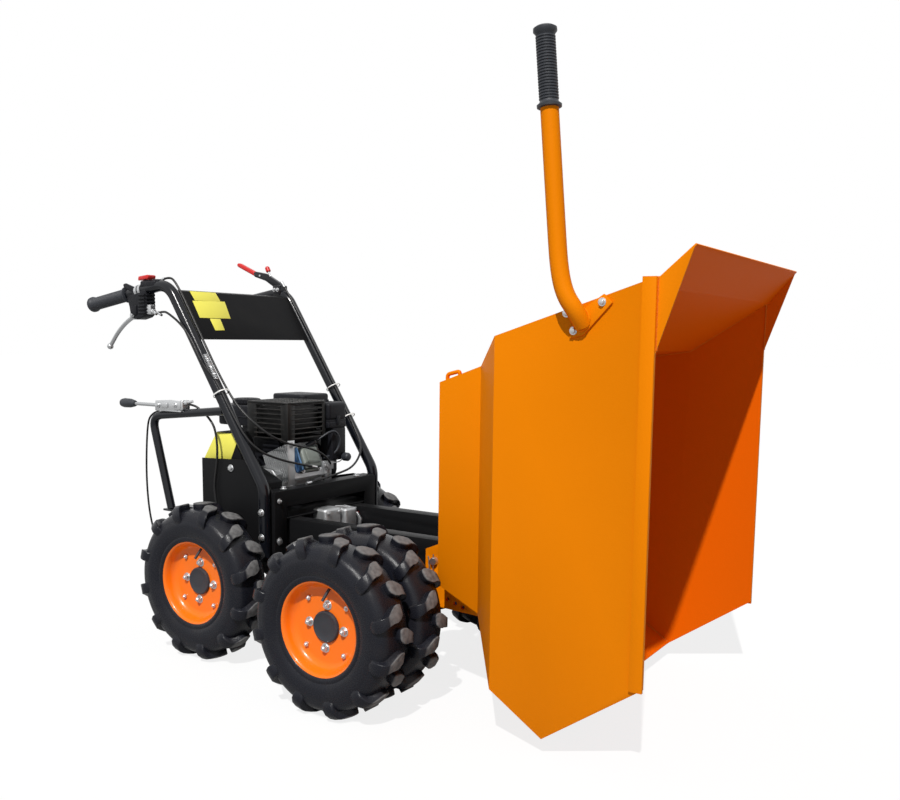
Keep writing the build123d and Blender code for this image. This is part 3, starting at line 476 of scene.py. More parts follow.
def joined(name, pieces):
    clear_selection()
    for piece in pieces:
        piece.select_set(True)
    bpy.context.view_layer.objects.active = pieces[0]
    bpy.ops.object.join()
    pieces[0].name = name
    pieces[0].data.name = name
    return pieces[0]


MIRROR = Matrix.Scale(-1, 4, (0, 1, 0))


# %% A block, a plate and a turned piece
def block_piece(name, low, high, rounding=1.0, steps=2):
    """A block between two corners with softened edges."""
    clear_selection()
    first, last = at(*low), at(*high)
    bpy.ops.mesh.primitive_cube_add(size=1, location=(first + last) / 2, scale=last - first)
    piece = named(name)
    return soften(piece, rounding, steps) if rounding else piece


def plate_piece(name, corners, way, rounding=0.5, steps=2):
    """A flat sheet: its corners in order round one face, and the way to the other face."""
    clear_selection()
    bpy.ops.mesh.primitive_circle_add(vertices=len(corners), radius=0.1, fill_type="NGON")
    piece = named(name)
    for vertex, corner in zip(piece.data.vertices, corners):
        vertex.co = at(*corner)
    edit_all(piece)
    bpy.ops.mesh.extrude_region_move(TRANSFORM_OT_translate={"value": Vector(way) * MM})
    bpy.ops.mesh.select_all(action="SELECT")
    bpy.ops.mesh.normals_make_consistent(inside=False)
    bpy.ops.object.mode_set(mode="OBJECT")
    return soften(piece, rounding, steps) if rounding else piece


def turned_piece(name, profile, start, end, steps=32, ring=False):
    """A piece turned about the line from start to end: rows of (distance, radius).
    A ring's profile is closed; any other starts and ends on the axis."""
    origin = at(*start)
    axis = (at(*end) - origin).normalized()
    across = axis.orthogonal().normalized()
    clear_selection()
    bpy.ops.mesh.primitive_circle_add(vertices=len(profile), radius=0.1, fill_type="NOTHING")
    piece = named(name)
    for vertex, (along, radius) in zip(piece.data.vertices, profile):
        vertex.co = origin + axis * along * MM + across * radius * MM
    edit_all(piece)
    if not ring:
        bpy.ops.mesh.select_all(action="DESELECT")
        bpy.ops.object.mode_set(mode="OBJECT")
        last = {0, len(profile) - 1}
        for edge in piece.data.edges:
            edge.select = set(edge.vertices) == last
        bpy.ops.object.mode_set(mode="EDIT")
        bpy.ops.mesh.select_mode(type="EDGE")
        bpy.ops.mesh.delete(type="EDGE")
        bpy.ops.mesh.select_mode(type="VERT")
    bpy.ops.mesh.select_all(action="SELECT")
    bpy.ops.mesh.spin(steps=steps, angle=2 * pi, center=origin, axis=axis)
    bpy.ops.object.mode_set(mode="OBJECT")
    return outward(piece)


# %% A bent tube and a cable
def bent(points, radius, steps=8):
    """The line through straight runs with an arc of this radius at each corner."""
    places = [Vector(p) for p in points]
    line = [places[0]]
    for before, corner, after in zip(places, places[1:], places[2:]):
        come, go = (corner - before).normalized(), (after - corner).normalized()
        turn = come.angle(go)
        back = min(radius * tan(turn / 2), 0.49 * (corner - before).length, 0.49 * (after - corner).length)
        first, last = corner - come * back, corner + go * back
        for number in range(steps + 1):
            share = number / steps
            line.append(first.lerp(corner, share).lerp(corner.lerp(last, share), share))
    line.append(places[-1])
    return line


def skin(name, line, radius, smooth_line=False, round_steps=6):
    """A round tube along a line: straight runs between the points, or one smooth spline."""
    clear_selection()
    curve = bpy.data.curves.new(name, "CURVE")
    curve.dimensions = "3D"
    curve.bevel_depth = radius * MM
    curve.bevel_resolution = round_steps
    curve.use_fill_caps = True
    curve.resolution_u = 8
    spline = curve.splines.new("NURBS" if smooth_line else "POLY")
    spline.points.add(len(line) - 1)
    for point, place in zip(spline.points, line):
        point.co = (*at(*place), 1)
    if smooth_line:
        spline.order_u = 3
        spline.use_endpoint_u = True
    piece = bpy.data.objects.new(name, curve)
    bpy.context.scene.collection.objects.link(piece)
    choose(piece)
    bpy.ops.object.convert(target="MESH")
    return bpy.context.object


# %% Bolts
def bolt_piece(name, place, way, size=6.0, head=5.0, washer=True, nut=False):
    """A hex head on a washer; way points out of the surface. A nut has its stud showing."""
    start = Vector(place)
    out = Vector(way).normalized()
    clear_selection()
    bpy.ops.mesh.primitive_cylinder_add(vertices=6, radius=size * MM, depth=head * MM)
    hexagon = named(name)
    soften(hexagon, size * 0.12, 2, 20)
    stretch = 1.6 if washer else 0.0
    turn = out.to_track_quat("Z", "Y").to_matrix().to_4x4()
    centre = at(*(start + out * (stretch + head / 2)))
    hexagon.data.transform(Matrix.Translation(centre) @ turn)
    pieces = [hexagon]
    if washer:
        rows = [(0, 0), (0, size * 1.45), (1.1, size * 1.45), (1.6, size * 1.35), (1.6, 0)]
        pieces.append(turned_piece(name + "_washer", rows, start, start + out, 24))
    if nut:
        stud = size * 0.55
        top = stretch + head
        rows = [(top - 1, 0), (top - 1, stud), (top + 2.5, stud), (top + 3.5, stud * 0.75), (top + 3.5, 0)]
        pieces.append(turned_piece(name + "_stud", rows, start, start + out, 16))
    return joined(name, pieces)


print("tools ready")

# %% [markdown]
# ## Tyres
#
# The tyres are small tractor tyres: a fat smooth body, and twelve chunky lugs on each side,
# set half a pitch apart. The body is one outline turned about the axle. A lug is a bar that
# starts as a rounded pad near the tread's middle, narrows, and widens again as it folds over
# the shoulder and runs out in the sidewall. It is extruded station by station, then copied
# round, and the tops of the lugs get a lighter, scuffed grey in their finish.

# %% The tyre's rubber, scuffed grey on top of the lugs
def tyre_finish(name, axle_x):
    # Near-black rubber with a blue tint in its base colour: the tint is a painted bluish sheen, a painted
    # reflection of the sky.
    material = make_finish(name, (0.0070, 0.0078, 0.0125), 0.26, grain_size=420, bump=0.0008, drift=0.2,
                           worn=0.2, worn_colour=(0.08, 0.075, 0.07, 1), dusty=0.05, shine=0.22)
    tree = material.node_tree
    body = tree.nodes["Principled BSDF"]
    spot = tree.nodes.new("ShaderNodeTexCoord")
    shifted = tree.nodes.new("ShaderNodeMapping")
    shifted.inputs["Location"].default_value = (-axle_x, 0, -front_axle.z)
    tree.links.new(spot.outputs["Object"], shifted.inputs["Vector"])
    flat = step(tree, "ShaderNodeVectorMath", shifted.outputs[0], (1, 0, 1), operation="MULTIPLY")
    reach = step(tree, "ShaderNodeVectorMath", flat.outputs[0], operation="LENGTH")
    outer = step(tree, "ShaderNodeMapRange", reach.outputs["Value"], 0.1955, 0.1985, 0.0, 1.0)
    scuffs = step(tree, "ShaderNodeTexNoise", shifted.outputs[0], None, 90.0, 6.0)
    scuffed = step(tree, "ShaderNodeMapRange", scuffs.outputs["Fac"], 0.3, 0.6, 0.45, 1.0)
    share = step(tree, "ShaderNodeMath", outer.outputs[0], scuffed.outputs[0], operation="MULTIPLY")
    under = body.inputs["Base Color"].links[0].from_socket
    rough = body.inputs["Roughness"].links[0].from_socket
    tree.links.new(blend(tree, share.outputs[0], under, (0.17, 0.168, 0.168, 1)), body.inputs["Base Color"])
    tree.links.new(blend(tree, share.outputs[0], rough, 0.75), body.inputs["Roughness"])
    return material


front_tyre_rubber = tyre_finish("front_tyre_rubber", front_axle.x)
rear_tyre_rubber = tyre_finish("rear_tyre_rubber", rear_axle.x)
slot_finish["tyre"] = front_tyre_rubber

# %% Sizes of a wheel, from its solids
tyre_low, tyre_high = measured("front_right_tyre")
TYRE_RADIUS = round((tyre_high[2] - tyre_low[2]) / 2)
OUTER_Y = -(tyre_low[1] + tyre_high[1]) / 2
inner_low, inner_high = measured("front_right_inner_tyre")
INNER_Y = -(inner_low[1] + inner_high[1]) / 2
rear_low, rear_high = measured("rear_right_tyre")
REAR_Y = -(rear_low[1] + rear_high[1]) / 2
LUGS = 12
BEAD, FLANGE, RIM_HALF, DISC_OUT, DISC_EDGE = 101.5, 114.0, 42.0, 10.0, 84.0
print("tyre radius", TYRE_RADIUS, "mm, tyres", OUTER_Y, INNER_Y, REAR_Y, "mm from the middle")

# %% The tyre's body
side_line = [(35, BEAD + 0.6), (39.5, 104), (43.5, 109), (44.5, 115), (43.5, 118), (45.5, 121), (48, 130),
             (49.6, 142), (49.8, 153), (49, 155), (48.4, 163), (45, 172), (38, 179), (26, 183), (10, 185)]
tyre_line = side_line + [(-a, r) for a, r in reversed(side_line)]
tyre_body = turned_piece("tyre_body", tyre_line, (0, 0, AXLE_HEIGHT), (0, 1, AXLE_HEIGHT), 96, ring=True)
print("tyre body faces", len(tyre_body.data.polygons))

# %% One lug
# rows: place across, radius of the top, radius of the foot, place along the tread, width
FOLDS_AT = 6
LUG_ROWS = [(-9, 196, 180, -15, 12), (-6, 199.5, 178, -14, 24), (3, 200, 178, -11, 33),
            (14, 200, 177, -8, 34),
            (24, 199.5, 176, -5, 27), (34, 198, 172, 0, 22), (43, 193, 166, 4, 24), (50, 184, 160, 7, 29),
            (53.5, 172, 154, 9, 31), (52.5, 161, 150, 10, 24), (49.2, 152, 146, 10, 12)]


def lug_corner(across, radius, along):
    """A place on the tread at the top of the wheel, bent round it."""
    turn = along / TYRE_RADIUS
    return at(radius * sin(turn), across, AXLE_HEIGHT + radius * cos(turn))


def lug_section(number):
    """The four corners of one row: two on top, two sunk in the body."""
    across, top, foot, along, width = LUG_ROWS[number]
    foot_across = across if number < FOLDS_AT else across - 7
    near, far = along - width / 2, along + width / 2
    return [lug_corner(across, top, near), lug_corner(across, top, far),
            lug_corner(foot_across, foot, far + 3), lug_corner(foot_across, foot, near - 3)]


def make_lug():
    """Extrudes a small plane row by row and puts each new corner at its place."""
    step_on = Vector((0, 0.005, 0))
    clear_selection()
    bpy.ops.mesh.primitive_plane_add(size=0.01)
    piece = named("tread_lug")
    section = lug_section(0)
    for index, corner in zip((0, 1, 3, 2), section):
        piece.data.vertices[index].co = corner
    edit_all(piece)
    for number in range(1, len(LUG_ROWS)):
        bpy.ops.object.mode_set(mode="EDIT")
        bpy.ops.mesh.extrude_region_move(TRANSFORM_OT_translate={"value": step_on})
        bpy.ops.object.mode_set(mode="OBJECT")
        before, section = section, lug_section(number)
        for vertex in [v for v in piece.data.vertices if v.select]:
            start = vertex.co - step_on
            vertex.co = section[min(range(4), key=lambda k: (start - before[k]).length)]
    outward(piece)
    return soften(piece, 2.4, 2, 25)


lug = make_lug()
print("lug faces", len(lug.data.polygons))

# %% The lugs copied round the body
about_axle = Matrix.Translation(at(0, 0, AXLE_HEIGHT))
lug_copies = []
for number in range(LUGS):
    for side, half_pitch in ((Matrix.Identity(4), 0.0), (MIRROR, 0.5)):
        spun = Matrix.Rotation(2 * pi * (number + half_pitch) / LUGS, 4, "Y")
        move = about_axle @ spun @ about_axle.inverted() @ side
        lug_copies.append(copy_of(lug, f"lug_{number}", move))
bpy.data.objects.remove(lug)
whole_tyre = joined("whole_tyre", [tyre_body] + lug_copies)
print("whole tyre faces", len(whole_tyre.data.polygons))

# %% A tyre at each station
def wheel_place(x, y):
    """Moves a piece made for a right wheel at the axle to its station."""
    side = MIRROR if y > 0 else Matrix.Identity(4)
    return Matrix.Translation(Vector((x, y, 0)) * MM) @ side


STATIONS = {
    "front_right_tyre": (0, -OUTER_Y, "front_right_wheel"),
    "front_right_inner_tyre": (0, -INNER_Y, "front_right_wheel"),
    "front_left_tyre": (0, OUTER_Y, "front_left_wheel"),
    "front_left_inner_tyre": (0, INNER_Y, "front_left_wheel"),
    "rear_right_tyre": (-WHEELBASE, -REAR_Y, "rear_right_wheel"),
    "rear_left_tyre": (-WHEELBASE, REAR_Y, "rear_left_wheel"),
}
for node, (x, y, body) in STATIONS.items():
    one = copy_of(whole_tyre, "lugged_" + node, wheel_place(x, y))
    finish_piece(one, body, "tyre", node, finish=front_tyre_rubber if x == 0 else rear_tyre_rubber, smooth=38)
bpy.data.objects.remove(whole_tyre)
print("tyres:", len(STATIONS))

# %% [markdown]
# ## Rims
#
# Each rim is pressed from orange sheet: a rolled lip, a seat under the tyre, a smooth
# channel that sinks to a flat disc, and a round hub behind it. It is one closed outline
# turned about the axle. Four large nuts hold the disc to the hub, four smaller bolts hold
# the two halves of the rim together, and a black cap closes the middle.

# %% One rim
HALF, SHEET_T = RIM_HALF, 3.0
rim_line = [(-HALF, FLANGE), (-HALF + 2.2, FLANGE - 1.2), (-38.5, 104.5), (-37, BEAD), (37, BEAD),
            (38.5, 104.5), (HALF - 2.2, FLANGE - 1.2), (HALF, FLANGE), (HALF + 1.4, FLANGE - 1.8),
            (HALF + 1.2, FLANGE - 4), (40.6, 102), (39, 99.4), (36, BEAD - SHEET_T), (-16, BEAD - SHEET_T),
            (-11, 95), (-7.6, DISC_EDGE), (-6.6, 78), (-6.6, 30), (-DISC_OUT, 30), (-DISC_OUT, 78),
            (-11, DISC_EDGE), (-14, 89.5), (-19, 94), (-27, 97.2), (-36, 99.6), (-40, 103),
            (-41.6, FLANGE - 5), (-HALF - 1.4, FLANGE - 2.4)]
rim_master = turned_piece("rim_master", rim_line, (0, 0, AXLE_HEIGHT), (0, 1, AXLE_HEIGHT), 72, ring=True)

# %% Hub cap, fasteners and tyre valve
NUT_CIRCLE, SPLIT_CIRCLE = 48.5, 75.0
cap_line = [(-DISC_OUT + 1, 0), (-DISC_OUT + 1, 35), (-DISC_OUT - 4, 35), (-DISC_OUT - 6.4, 33.6),
            (-DISC_OUT - 7, 31.5), (-DISC_OUT - 5.8, 29.5), (-DISC_OUT - 5.6, 12), (-DISC_OUT - 6.2, 0)]
cap_master = turned_piece("cap_master", cap_line, (0, 0, AXLE_HEIGHT), (0, 1, AXLE_HEIGHT), 40)
fasteners = []
for number in range(4):
    angle = radians(90 * number + 4)
    spot = (NUT_CIRCLE * sin(angle), -DISC_OUT, AXLE_HEIGHT + NUT_CIRCLE * cos(angle))
    fasteners.append(bolt_piece(f"nut_{number}", spot, (0, -1, 0), size=7.6, head=7.5, nut=True))
    angle = radians(90 * number + 49)
    spot = (SPLIT_CIRCLE * sin(angle), -DISC_OUT, AXLE_HEIGHT + SPLIT_CIRCLE * cos(angle))
    fasteners.append(bolt_piece(f"split_bolt_{number}", spot, (0, -1, 0), size=6.2, head=5.0, washer=False,
                                nut=True))
nuts_master = joined("nuts_master", fasteners)
valve_line = bent([(14, -DISC_OUT + 2, AXLE_HEIGHT + 92), (12, -DISC_OUT - 8, AXLE_HEIGHT + 84),
                   (6, -DISC_OUT - 22, AXLE_HEIGHT + 62)], 8)
valve_master = skin("valve_master", valve_line, 3.4)
print("rim faces", len(rim_master.data.polygons), "nut faces", len(nuts_master.data.polygons))


# %% Rims, caps and nuts at each station
for body in ("front_right", "front_left", "rear_right", "rear_left"):
    right = "right" in body
    sign = -1 if right else 1
    front = "front" in body
    x = 0 if front else -WHEELBASE
    places = (OUTER_Y, INNER_Y) if front else (REAR_Y,)
    rims = [copy_of(rim_master, f"rim_{k}", wheel_place(x, sign * y)) for k, y in enumerate(places)]
    hub_inner = measured(body + "_rims")[1 if right else 0][1]
    hub_end = places[0] - abs(hub_inner)
    hub_rows = [(6.6, 0), (6.6, 33), (hub_end - 3, 33), (hub_end, 30), (hub_end, 0)]
    hub = turned_piece("hub", hub_rows, (x, sign * places[0], AXLE_HEIGHT), (x, 0, AXLE_HEIGHT), 32)
    rims.append(hub)
    painted = joined(body + "_painted_rims", rims)
    finish_piece(painted, body + "_wheel", "rim_paint", body + "_rims", smooth=40)
    for master, name, slot in ((cap_master, "_hub_cap", "rubber"), (nuts_master, "_wheel_nuts", "zinc"),
                               (valve_master, "_tyre_valve", "rubber")):
        finish_piece(copy_of(master, body + name, wheel_place(x, sign * places[0])), body + "_wheel", slot)
for master in (rim_master, cap_master, nuts_master, valve_master):
    bpy.data.objects.remove(master)
print("wheel pieces", len(made))

# %% [markdown]
# ## Softened copies of the solids
#
# Bent sheet and castings never have knife edges: each edge is a small round that catches
# light. Most solids already have the right shape, so a piece is a copy of the solid with its
# loose triangles merged and its sharp edges bevelled, and it stands in for that solid.

# %% A softened copy
def softened_copy(node, name, body, slot, rounding, steps=2, smooth=32, angle=28):
    piece = copy_of(frame["nodes"][node], name)
    choose(piece)
    edit_all(piece)
    bpy.ops.mesh.remove_doubles(threshold=0.00002)
    bpy.ops.mesh.dissolve_limited(angle_limit=radians(1.0))
    bpy.ops.object.mode_set(mode="OBJECT")
    soften(piece, rounding, steps, angle)
    return finish_piece(piece, body, slot, node, smooth=smooth)


# %% The skip's paint is redder and darker on its inside faces: painted shade for the shade inside the tub
tree = skip_paint.node_tree
body_shader = tree.nodes["Principled BSDF"]
spot = tree.nodes.new("ShaderNodeTexCoord")
toward = step(tree, "ShaderNodeVectorMath", None, spot.outputs["Object"], operation="SUBTRACT")
toward.inputs[0].default_value = at(470, 0, 520)    # the middle of the skip
world_way = tree.nodes.new("ShaderNodeNewGeometry")
own_way = step(tree, "ShaderNodeVectorTransform", world_way.outputs["True Normal"], vector_type="NORMAL",
               convert_from="WORLD", convert_to="OBJECT")
faces_in = step(tree, "ShaderNodeVectorMath", toward.outputs[0], own_way.outputs[0], operation="DOT_PRODUCT")
# Faces that turn toward the skip's middle take the painted shade colour.
inside = step(tree, "ShaderNodeMapRange", faces_in.outputs["Value"], -0.01, 0.01, 0.0, 1.0)
outer_colour = body_shader.inputs["Base Color"].links[0].from_socket
tree.links.new(blend(tree, inside.outputs[0], outer_colour, PAINTED_SHADE_ORANGE), body_shader.inputs["Base Color"])
softened_copy("skip_tub", "skip_shell", "skip", "skip_paint", 1.4)
print("skip shell faces", made["skip_shell"])

# %% [markdown]
# ## The skip's seams and fittings
#
# The skip is welded from bent sheets. A weld is a slightly wavy raised bead where two sheets
# meet, so each is a thin tube whose surface is lifted by noise. Two small staples on the
# floor's upper edge, the hitch plates, and the long dump handle are bolted or welded on.

# %% Weld beads
def weld_piece(name, points, radius):
    """A bead along the line through these points, its surface lifted by noise."""
    places = [Vector(p) for p in points]
    line = []
    for start, end in zip(places, places[1:]):
        runs = max(2, round((end - start).length / (radius * 1.6)))
        line += [start.lerp(end, k / runs) for k in range(runs)]
    line.append(places[-1])
    piece = skin(name, line, radius, round_steps=2)
    texture = bpy.data.textures.new(name, "CLOUDS")
    texture.noise_scale = 0.006
    modify(piece, "DISPLACE", texture=texture, strength=radius * 0.45 * MM, mid_level=0.5)
    return finish_piece(piece, "skip", "skip_paint", smooth=60, finish=seam_orange)


print("weld beads ready to lay")


# %% The hitch plates
def hitch_copy(node, side):
    """The hitch plate with its row of small holes along the lower edge."""
    piece = copy_of(frame["nodes"][node], node + "_plate")
    outward(piece)
    for x, z in ((134, 219), (155, 212), (176, 206)):
        clear_selection()
        bpy.ops.mesh.primitive_cylinder_add(vertices=20, radius=5 * MM, depth=30 * MM,
                                            location=at(x, side * 151, z), rotation=(pi / 2, 0, 0))
        drill = named("drill")
        modify(piece, "BOOLEAN", object=drill, operation="DIFFERENCE")
        bpy.data.objects.remove(drill)
    edit_all(piece)
    bpy.ops.mesh.dissolve_limited(angle_limit=radians(1.0))
    bpy.ops.object.mode_set(mode="OBJECT")
    soften(piece, 0.8, 2, 40)
    return finish_piece(piece, "skip", "skip_paint", node)


hitch_copy("hitch_right", -1)
hitch_copy("hitch_left", 1)

# %% The welds and the two staples
for side in (-1, 1):
    tag = "left" if side > 0 else "right"
    rows = [(489, 353.5, 43), (372, 353.5, 120), (258, 217.5, 225), (153, 217.5, 274)]
    weld_piece(f"front_weld_{tag}", [(x, side * y, z) for x, y, z in rows], 2.2)
    rows = [(153, 217.5, 724), (256, 217.5, 761), (371, 353.5, 777), (519, 353.5, 799), (697, 353.5, 913)]
    weld_piece(f"back_weld_{tag}", [(x, side * y, z) for x, y, z in rows], 2.2)
    weld_piece(f"hood_weld_{tag}", [(700, side * 356, 806), (700.5, side * 356, 934)], 2.6)
    staple_line = bent([(x, side * 200, z) for x, z in ((158, 728), (158, 744), (190, 752), (190, 738))], 8)
    finish_piece(skin(f"staple_{tag}", staple_line, 4.5), "skip", "skip_paint")

# %% The dump handle, one smooth curve that ends square on its plate
handle_plate = [(600, 907), (617, 891), (561, 832), (532, 826), (545, 870)]
HANDLE_Y = -385
handle_run = [(492.4, HANDLE_Y, 1243), (508, HANDLE_Y, 1074), (515, HANDLE_Y, 1000), (519, HANDLE_Y, 962),
              (526, HANDLE_Y, 926), (536, -384, 900), (549, -379, 880), (556, -368, 862), (558, -360, 852)]
handle_tube = skin("handle_tube", handle_run, 17, smooth_line=True)
handle_foot = plate_piece("handle_foot", [(x, -363, z) for x, z in handle_plate], (0, 5, 0), 1.5)
weld_ring = [(556 + 17 * cos(k * pi / 10), -364, 861 + 21 * sin(k * pi / 10)) for k in range(21)]
tube_weld = skin("tube_weld", weld_ring, 2.4, round_steps=2)
finish_piece(joined("dump_handle_tube", [handle_tube, handle_foot, tube_weld]), "skip", "skip_paint",
             "dump_handle")
for number, (x, z) in enumerate(((597, 892), (541, 840), (526, 872))):
    bolt = bolt_piece(f"handle_bolt_{number}", (x, -363, z), (0, -1, 0), size=5.4, head=4.6)
    finish_piece(bolt, "skip", "zinc")

# %% [markdown]
# ## Rubber grips
#
# A grip is a thick sleeve with a flange at the hand's edge, fine rings along the hand and a
# round closed end. Its outline is a row of radii, so the rings are a formula, and the row is
# turned about the bar. The same maker serves the two handlebars and the dump handle.

# %% A ringed grip
def grip_piece(name, start, end, radius, rings):
    """start is at the hand's flange; end is the closed end."""
    length = (Vector(end) - Vector(start)).length
    rows = [(0, 0), (0, radius + 1), (1.2, radius + 4.6), (5.5, radius + 5), (7.5, radius + 2),
            (11, radius - 0.5)]
    first, last = 14.0, length - 16.0
    pitch = (last - first) / rings
    for number in range(rings):
        near = first + number * pitch
        rows += [(near, radius - 1.5), (near + pitch * 0.22, radius + 0.1),
                 (near + pitch * 0.6, radius + 0.2),
                 (near + pitch * 0.85, radius - 1.4)]
    rows += [(length - 13, radius + 0.4), (length - 9, radius + 3.8), (length - 3.5, radius + 3.6),
             (length - 0.6, radius - 1), (length, radius - 6), (length, 0)]
    return turned_piece(name, rows, start, end, 36)


dump_rubber = grip_piece("dump_handle_grip", (493, HANDLE_Y, 1236), (480, HANDLE_Y, 1378), 18, 22)
finish_piece(dump_rubber, "skip", "rubber", "dump_grip", smooth=50)

# %% Pivot pins with their spring clips
for side in (-1, 1):
    tag = "left" if side > 0 else "right"
    pin_rows = [(0, 0), (0, 9), (1, 10), (59, 10), (63, 8.5), (64, 0)]
    pin = turned_piece(f"pin_{tag}", pin_rows, (PIN_X, side * 101, PIN_Z), (PIN_X, side * 165, PIN_Z), 32)
    clip_rows = [(97, 161, 322), (97, 161, 290), (96, 161, 280), (90, 161, 276), (84, 161, 282),
                 (87, 161, 292),
                 (84, 161, 300), (86, 161, 308), (82, 161, 316)]
    clip = skin(f"clip_{tag}", [Vector((x, side * y, z)) for x, y, z in clip_rows], 1.4, smooth_line=True,
                round_steps=2)
    finish_piece(clip, "skip", "zinc")
    if side < 0:
        right_pin = pin
finish_piece(joined("pivot_pins_turned", [right_pin, pin]), "skip", "zinc", "pivot_pins")
print("skip pieces done:", len(made))

# %% [markdown]
# ## Frame, axles and platform
#
# Rails, axle housings, the gearbox and the folded sheets of the platform are black steel.
# Their solids are right, so they are softened copies. Hex bolts with washers show where
# sheets and bars meet.

# %% Frame pieces as softened copies
for node, rounding in (("rail_right", 1.5), ("rail_left", 1.5), ("platform", 0.8), ("cheek_right", 0.8),
                       ("cheek_left", 0.8), ("crossbar", 0.9), ("gearbox", 3.5), ("buffers", 1.5)):
    softened_copy(node, node + "_piece", "chassis", "rubber" if node == "buffers" else "frame_paint",
                  rounding)

# %% Round axle housings
def axle_piece(name, x, half):
    rows = [(-half, 0), (-half, 26), (-74, 26), (-66, 30), (-52, 50), (-38, 57), (38, 57), (52, 50), (66, 30),
            (74, 26), (half, 26), (half, 0)]
    housing = turned_piece(name + "_housing", rows, (x, 0, AXLE_HEIGHT), (x, 1, AXLE_HEIGHT), 40)
    parts = [housing]
    reach = measured(name)[1][1]
    for side in (-1, 1):
        stub = [(half - 4, 0), (half - 4, 12.5), (reach - 2, 12.5), (reach, 11), (reach, 0)]
        parts.append(turned_piece("stub", stub, (x, 0, AXLE_HEIGHT), (x, side, AXLE_HEIGHT), 28))
        saddle = [(x - 45, side * 113, 272), (x + 45, side * 113, 272), (x + 36, side * 113, AXLE_HEIGHT),
                  (x - 36, side * 113, AXLE_HEIGHT)]
        parts.append(plate_piece("saddle", saddle, (0, side * 24, 0), 1.5))
        for step_x in (-30, 30):
            parts.append(bolt_piece("saddle_bolt", (x + step_x, side * 137, 250), (0, side, 0), 6, 5))
    flange = [(-3.5, 0), (-3.5, 64), (3.5, 64), (3.5, 0)]
    parts.append(turned_piece("flange", flange, (x, 0, AXLE_HEIGHT), (x, 1, AXLE_HEIGHT), 40))
    whole = joined(name + "_whole", parts)
    return finish_piece(whole, "chassis", "frame_paint", name, smooth=40)


axle_piece("front_axle", 0, 218)
axle_piece("rear_axle", -WHEELBASE, 235)
shaft_low, shaft_high = measured("front_drive_shaft")
shaft_rows = [(0, 0), (0, 18), (16, 18), (20, 14), (150, 14), (152, 15.5), (158, 15.5), (160, 14),
              (shaft_high[0] - shaft_low[0] - 18, 14), (shaft_high[0] - shaft_low[0] - 14, 18),
              (shaft_high[0] - shaft_low[0], 18), (shaft_high[0] - shaft_low[0], 0)]
shaft = turned_piece("drive_shaft", shaft_rows, (shaft_low[0], 0, 230), (0, 0, 230), 28)
finish_piece(shaft, "chassis", "frame_paint", "front_drive_shaft")

# %% Bolts on the frame
frame_bolts = [((-512, -206.7, 479), (0, -1, 0), 6.5), ((-376, -237, 380), (0, -1, 0), 6.5),
               ((-376, -237, 316), (0, -1, 0), 6.5), ((-376, 237, 380), (0, 1, 0), 6.5),
               ((-376, 237, 316), (0, 1, 0), 6.5), ((-382, -150, 429), (0, 0, 1), 6.5),
               ((-360, -190, 404), (1, 0, 0), 4.5), ((-360, 190, 300), (1, 0, 0), 6.5),
               ((-360, -190, 300), (1, 0, 0), 6.5), ((-382, 150, 429), (0, 0, 1), 6.5),
               ((-580, -206.7, 330), (0, -1, 0), 6.0), ((-580, 206.7, 330), (0, 1, 0), 6.0)]
heads = [bolt_piece("frame_bolt", place, way, size, 5.0) for place, way, size in frame_bolts]
finish_piece(joined("frame_bolts", heads), "chassis", "zinc")
print("frame done:", len(made))

# %% [markdown]
# ## Handlebars and dashboard
#
# Each handlebar is one steel tube, bent twice. It is drawn as a line with round corners and
# given its thickness by the curve's own bevel, then made a mesh. The dashboard is a folded
# sheet between the tubes that carries blank yellow plates.

# %% Handlebars
BAR_Y = 222.0
BAR_RADIUS = 15
FOOT_X, FOOT_Z = -380, 440      # where the bar starts to rake back
BEND_X, BEND_Z = -716, 958      # where it turns level, towards the grip
RAKE_COSINE = 0.839             # of the raked run's angle to the upright
bar_line = bent([(FOOT_X, 0, 262), (FOOT_X, 0, FOOT_Z), (BEND_X, 0, BEND_Z), (-1028, 0, 904)], 70, 10)
for side in (-1, 1):
    tag = "left" if side > 0 else "right"
    line = [Vector((p.x, side * BAR_Y, p.z)) for p in bar_line]
    bar = skin(f"smooth_handlebar_{tag}", line, BAR_RADIUS, round_steps=8)
    finish_piece(bar, "chassis", "frame_paint", f"handlebar_{tag}", smooth=40, finish=tube_paint)
grips = []
level = (Vector((-1033, 0, 903)) - Vector((BEND_X, 0, BEND_Z))).normalized()
for side in (-1, 1):
    tip_place = Vector((-1033, side * BAR_Y, 903))
    grips.append(grip_piece("grip", tip_place - level * 160, tip_place, 17.5, 24))
finish_piece(joined("handlebar_grips", grips), "chassis", "rubber", "grips", smooth=50)

# %% Dashboard with its blank plates
softened_copy("dash_panel", "dashboard", "chassis", "frame_paint", 0.9)


def raked(z, out, y):
    """A place beside the raked run of a bar: out millimetres square to its front."""
    share = (z - FOOT_Z) / (BEND_Z - FOOT_Z)
    return (FOOT_X + share * (BEND_X - FOOT_X) + out / RAKE_COSINE, y, z)


def on_dash(y, z, proud=0.3):
    """A place on the front of the raked dashboard."""
    x = raked(z, 0, y)[0] + 9
    return (x + proud * 0.84, y, z + proud * 0.54)


PLATES = [[(-176, 913), (-60, 915), (-68, 868), (-178, 868)],
          [(-144, 866.5), (-107, 866.5), (-110, 836), (-144, 835)],
          [(-170, 939), (-79, 939), (-75, 914), (-167, 914)]]
sheets = []
for number, outline in enumerate(PLATES):
    corners = [on_dash(y, z) for y, z in outline]
    sheets.append(plate_piece(f"dash_plate_{number}", corners, (0.5, 0, 0.32), 0.2))
finish_piece(joined("dash_blank_plates", sheets), "chassis", "white_plastic", finish=yellow_plate)
print("bars and dash done:", len(made))

# %% [markdown]
# ## Hand controls
#
# On the right bar sit a moulded housing with the clutch lever below it, a clamp band, a
# switch with a red stop button, and a small throttle thumb lever. On the left bar a
# release body holds a red dump lever and a small red knob. Lower down, a bent tube carries
# the gear lever in a bright open channel.

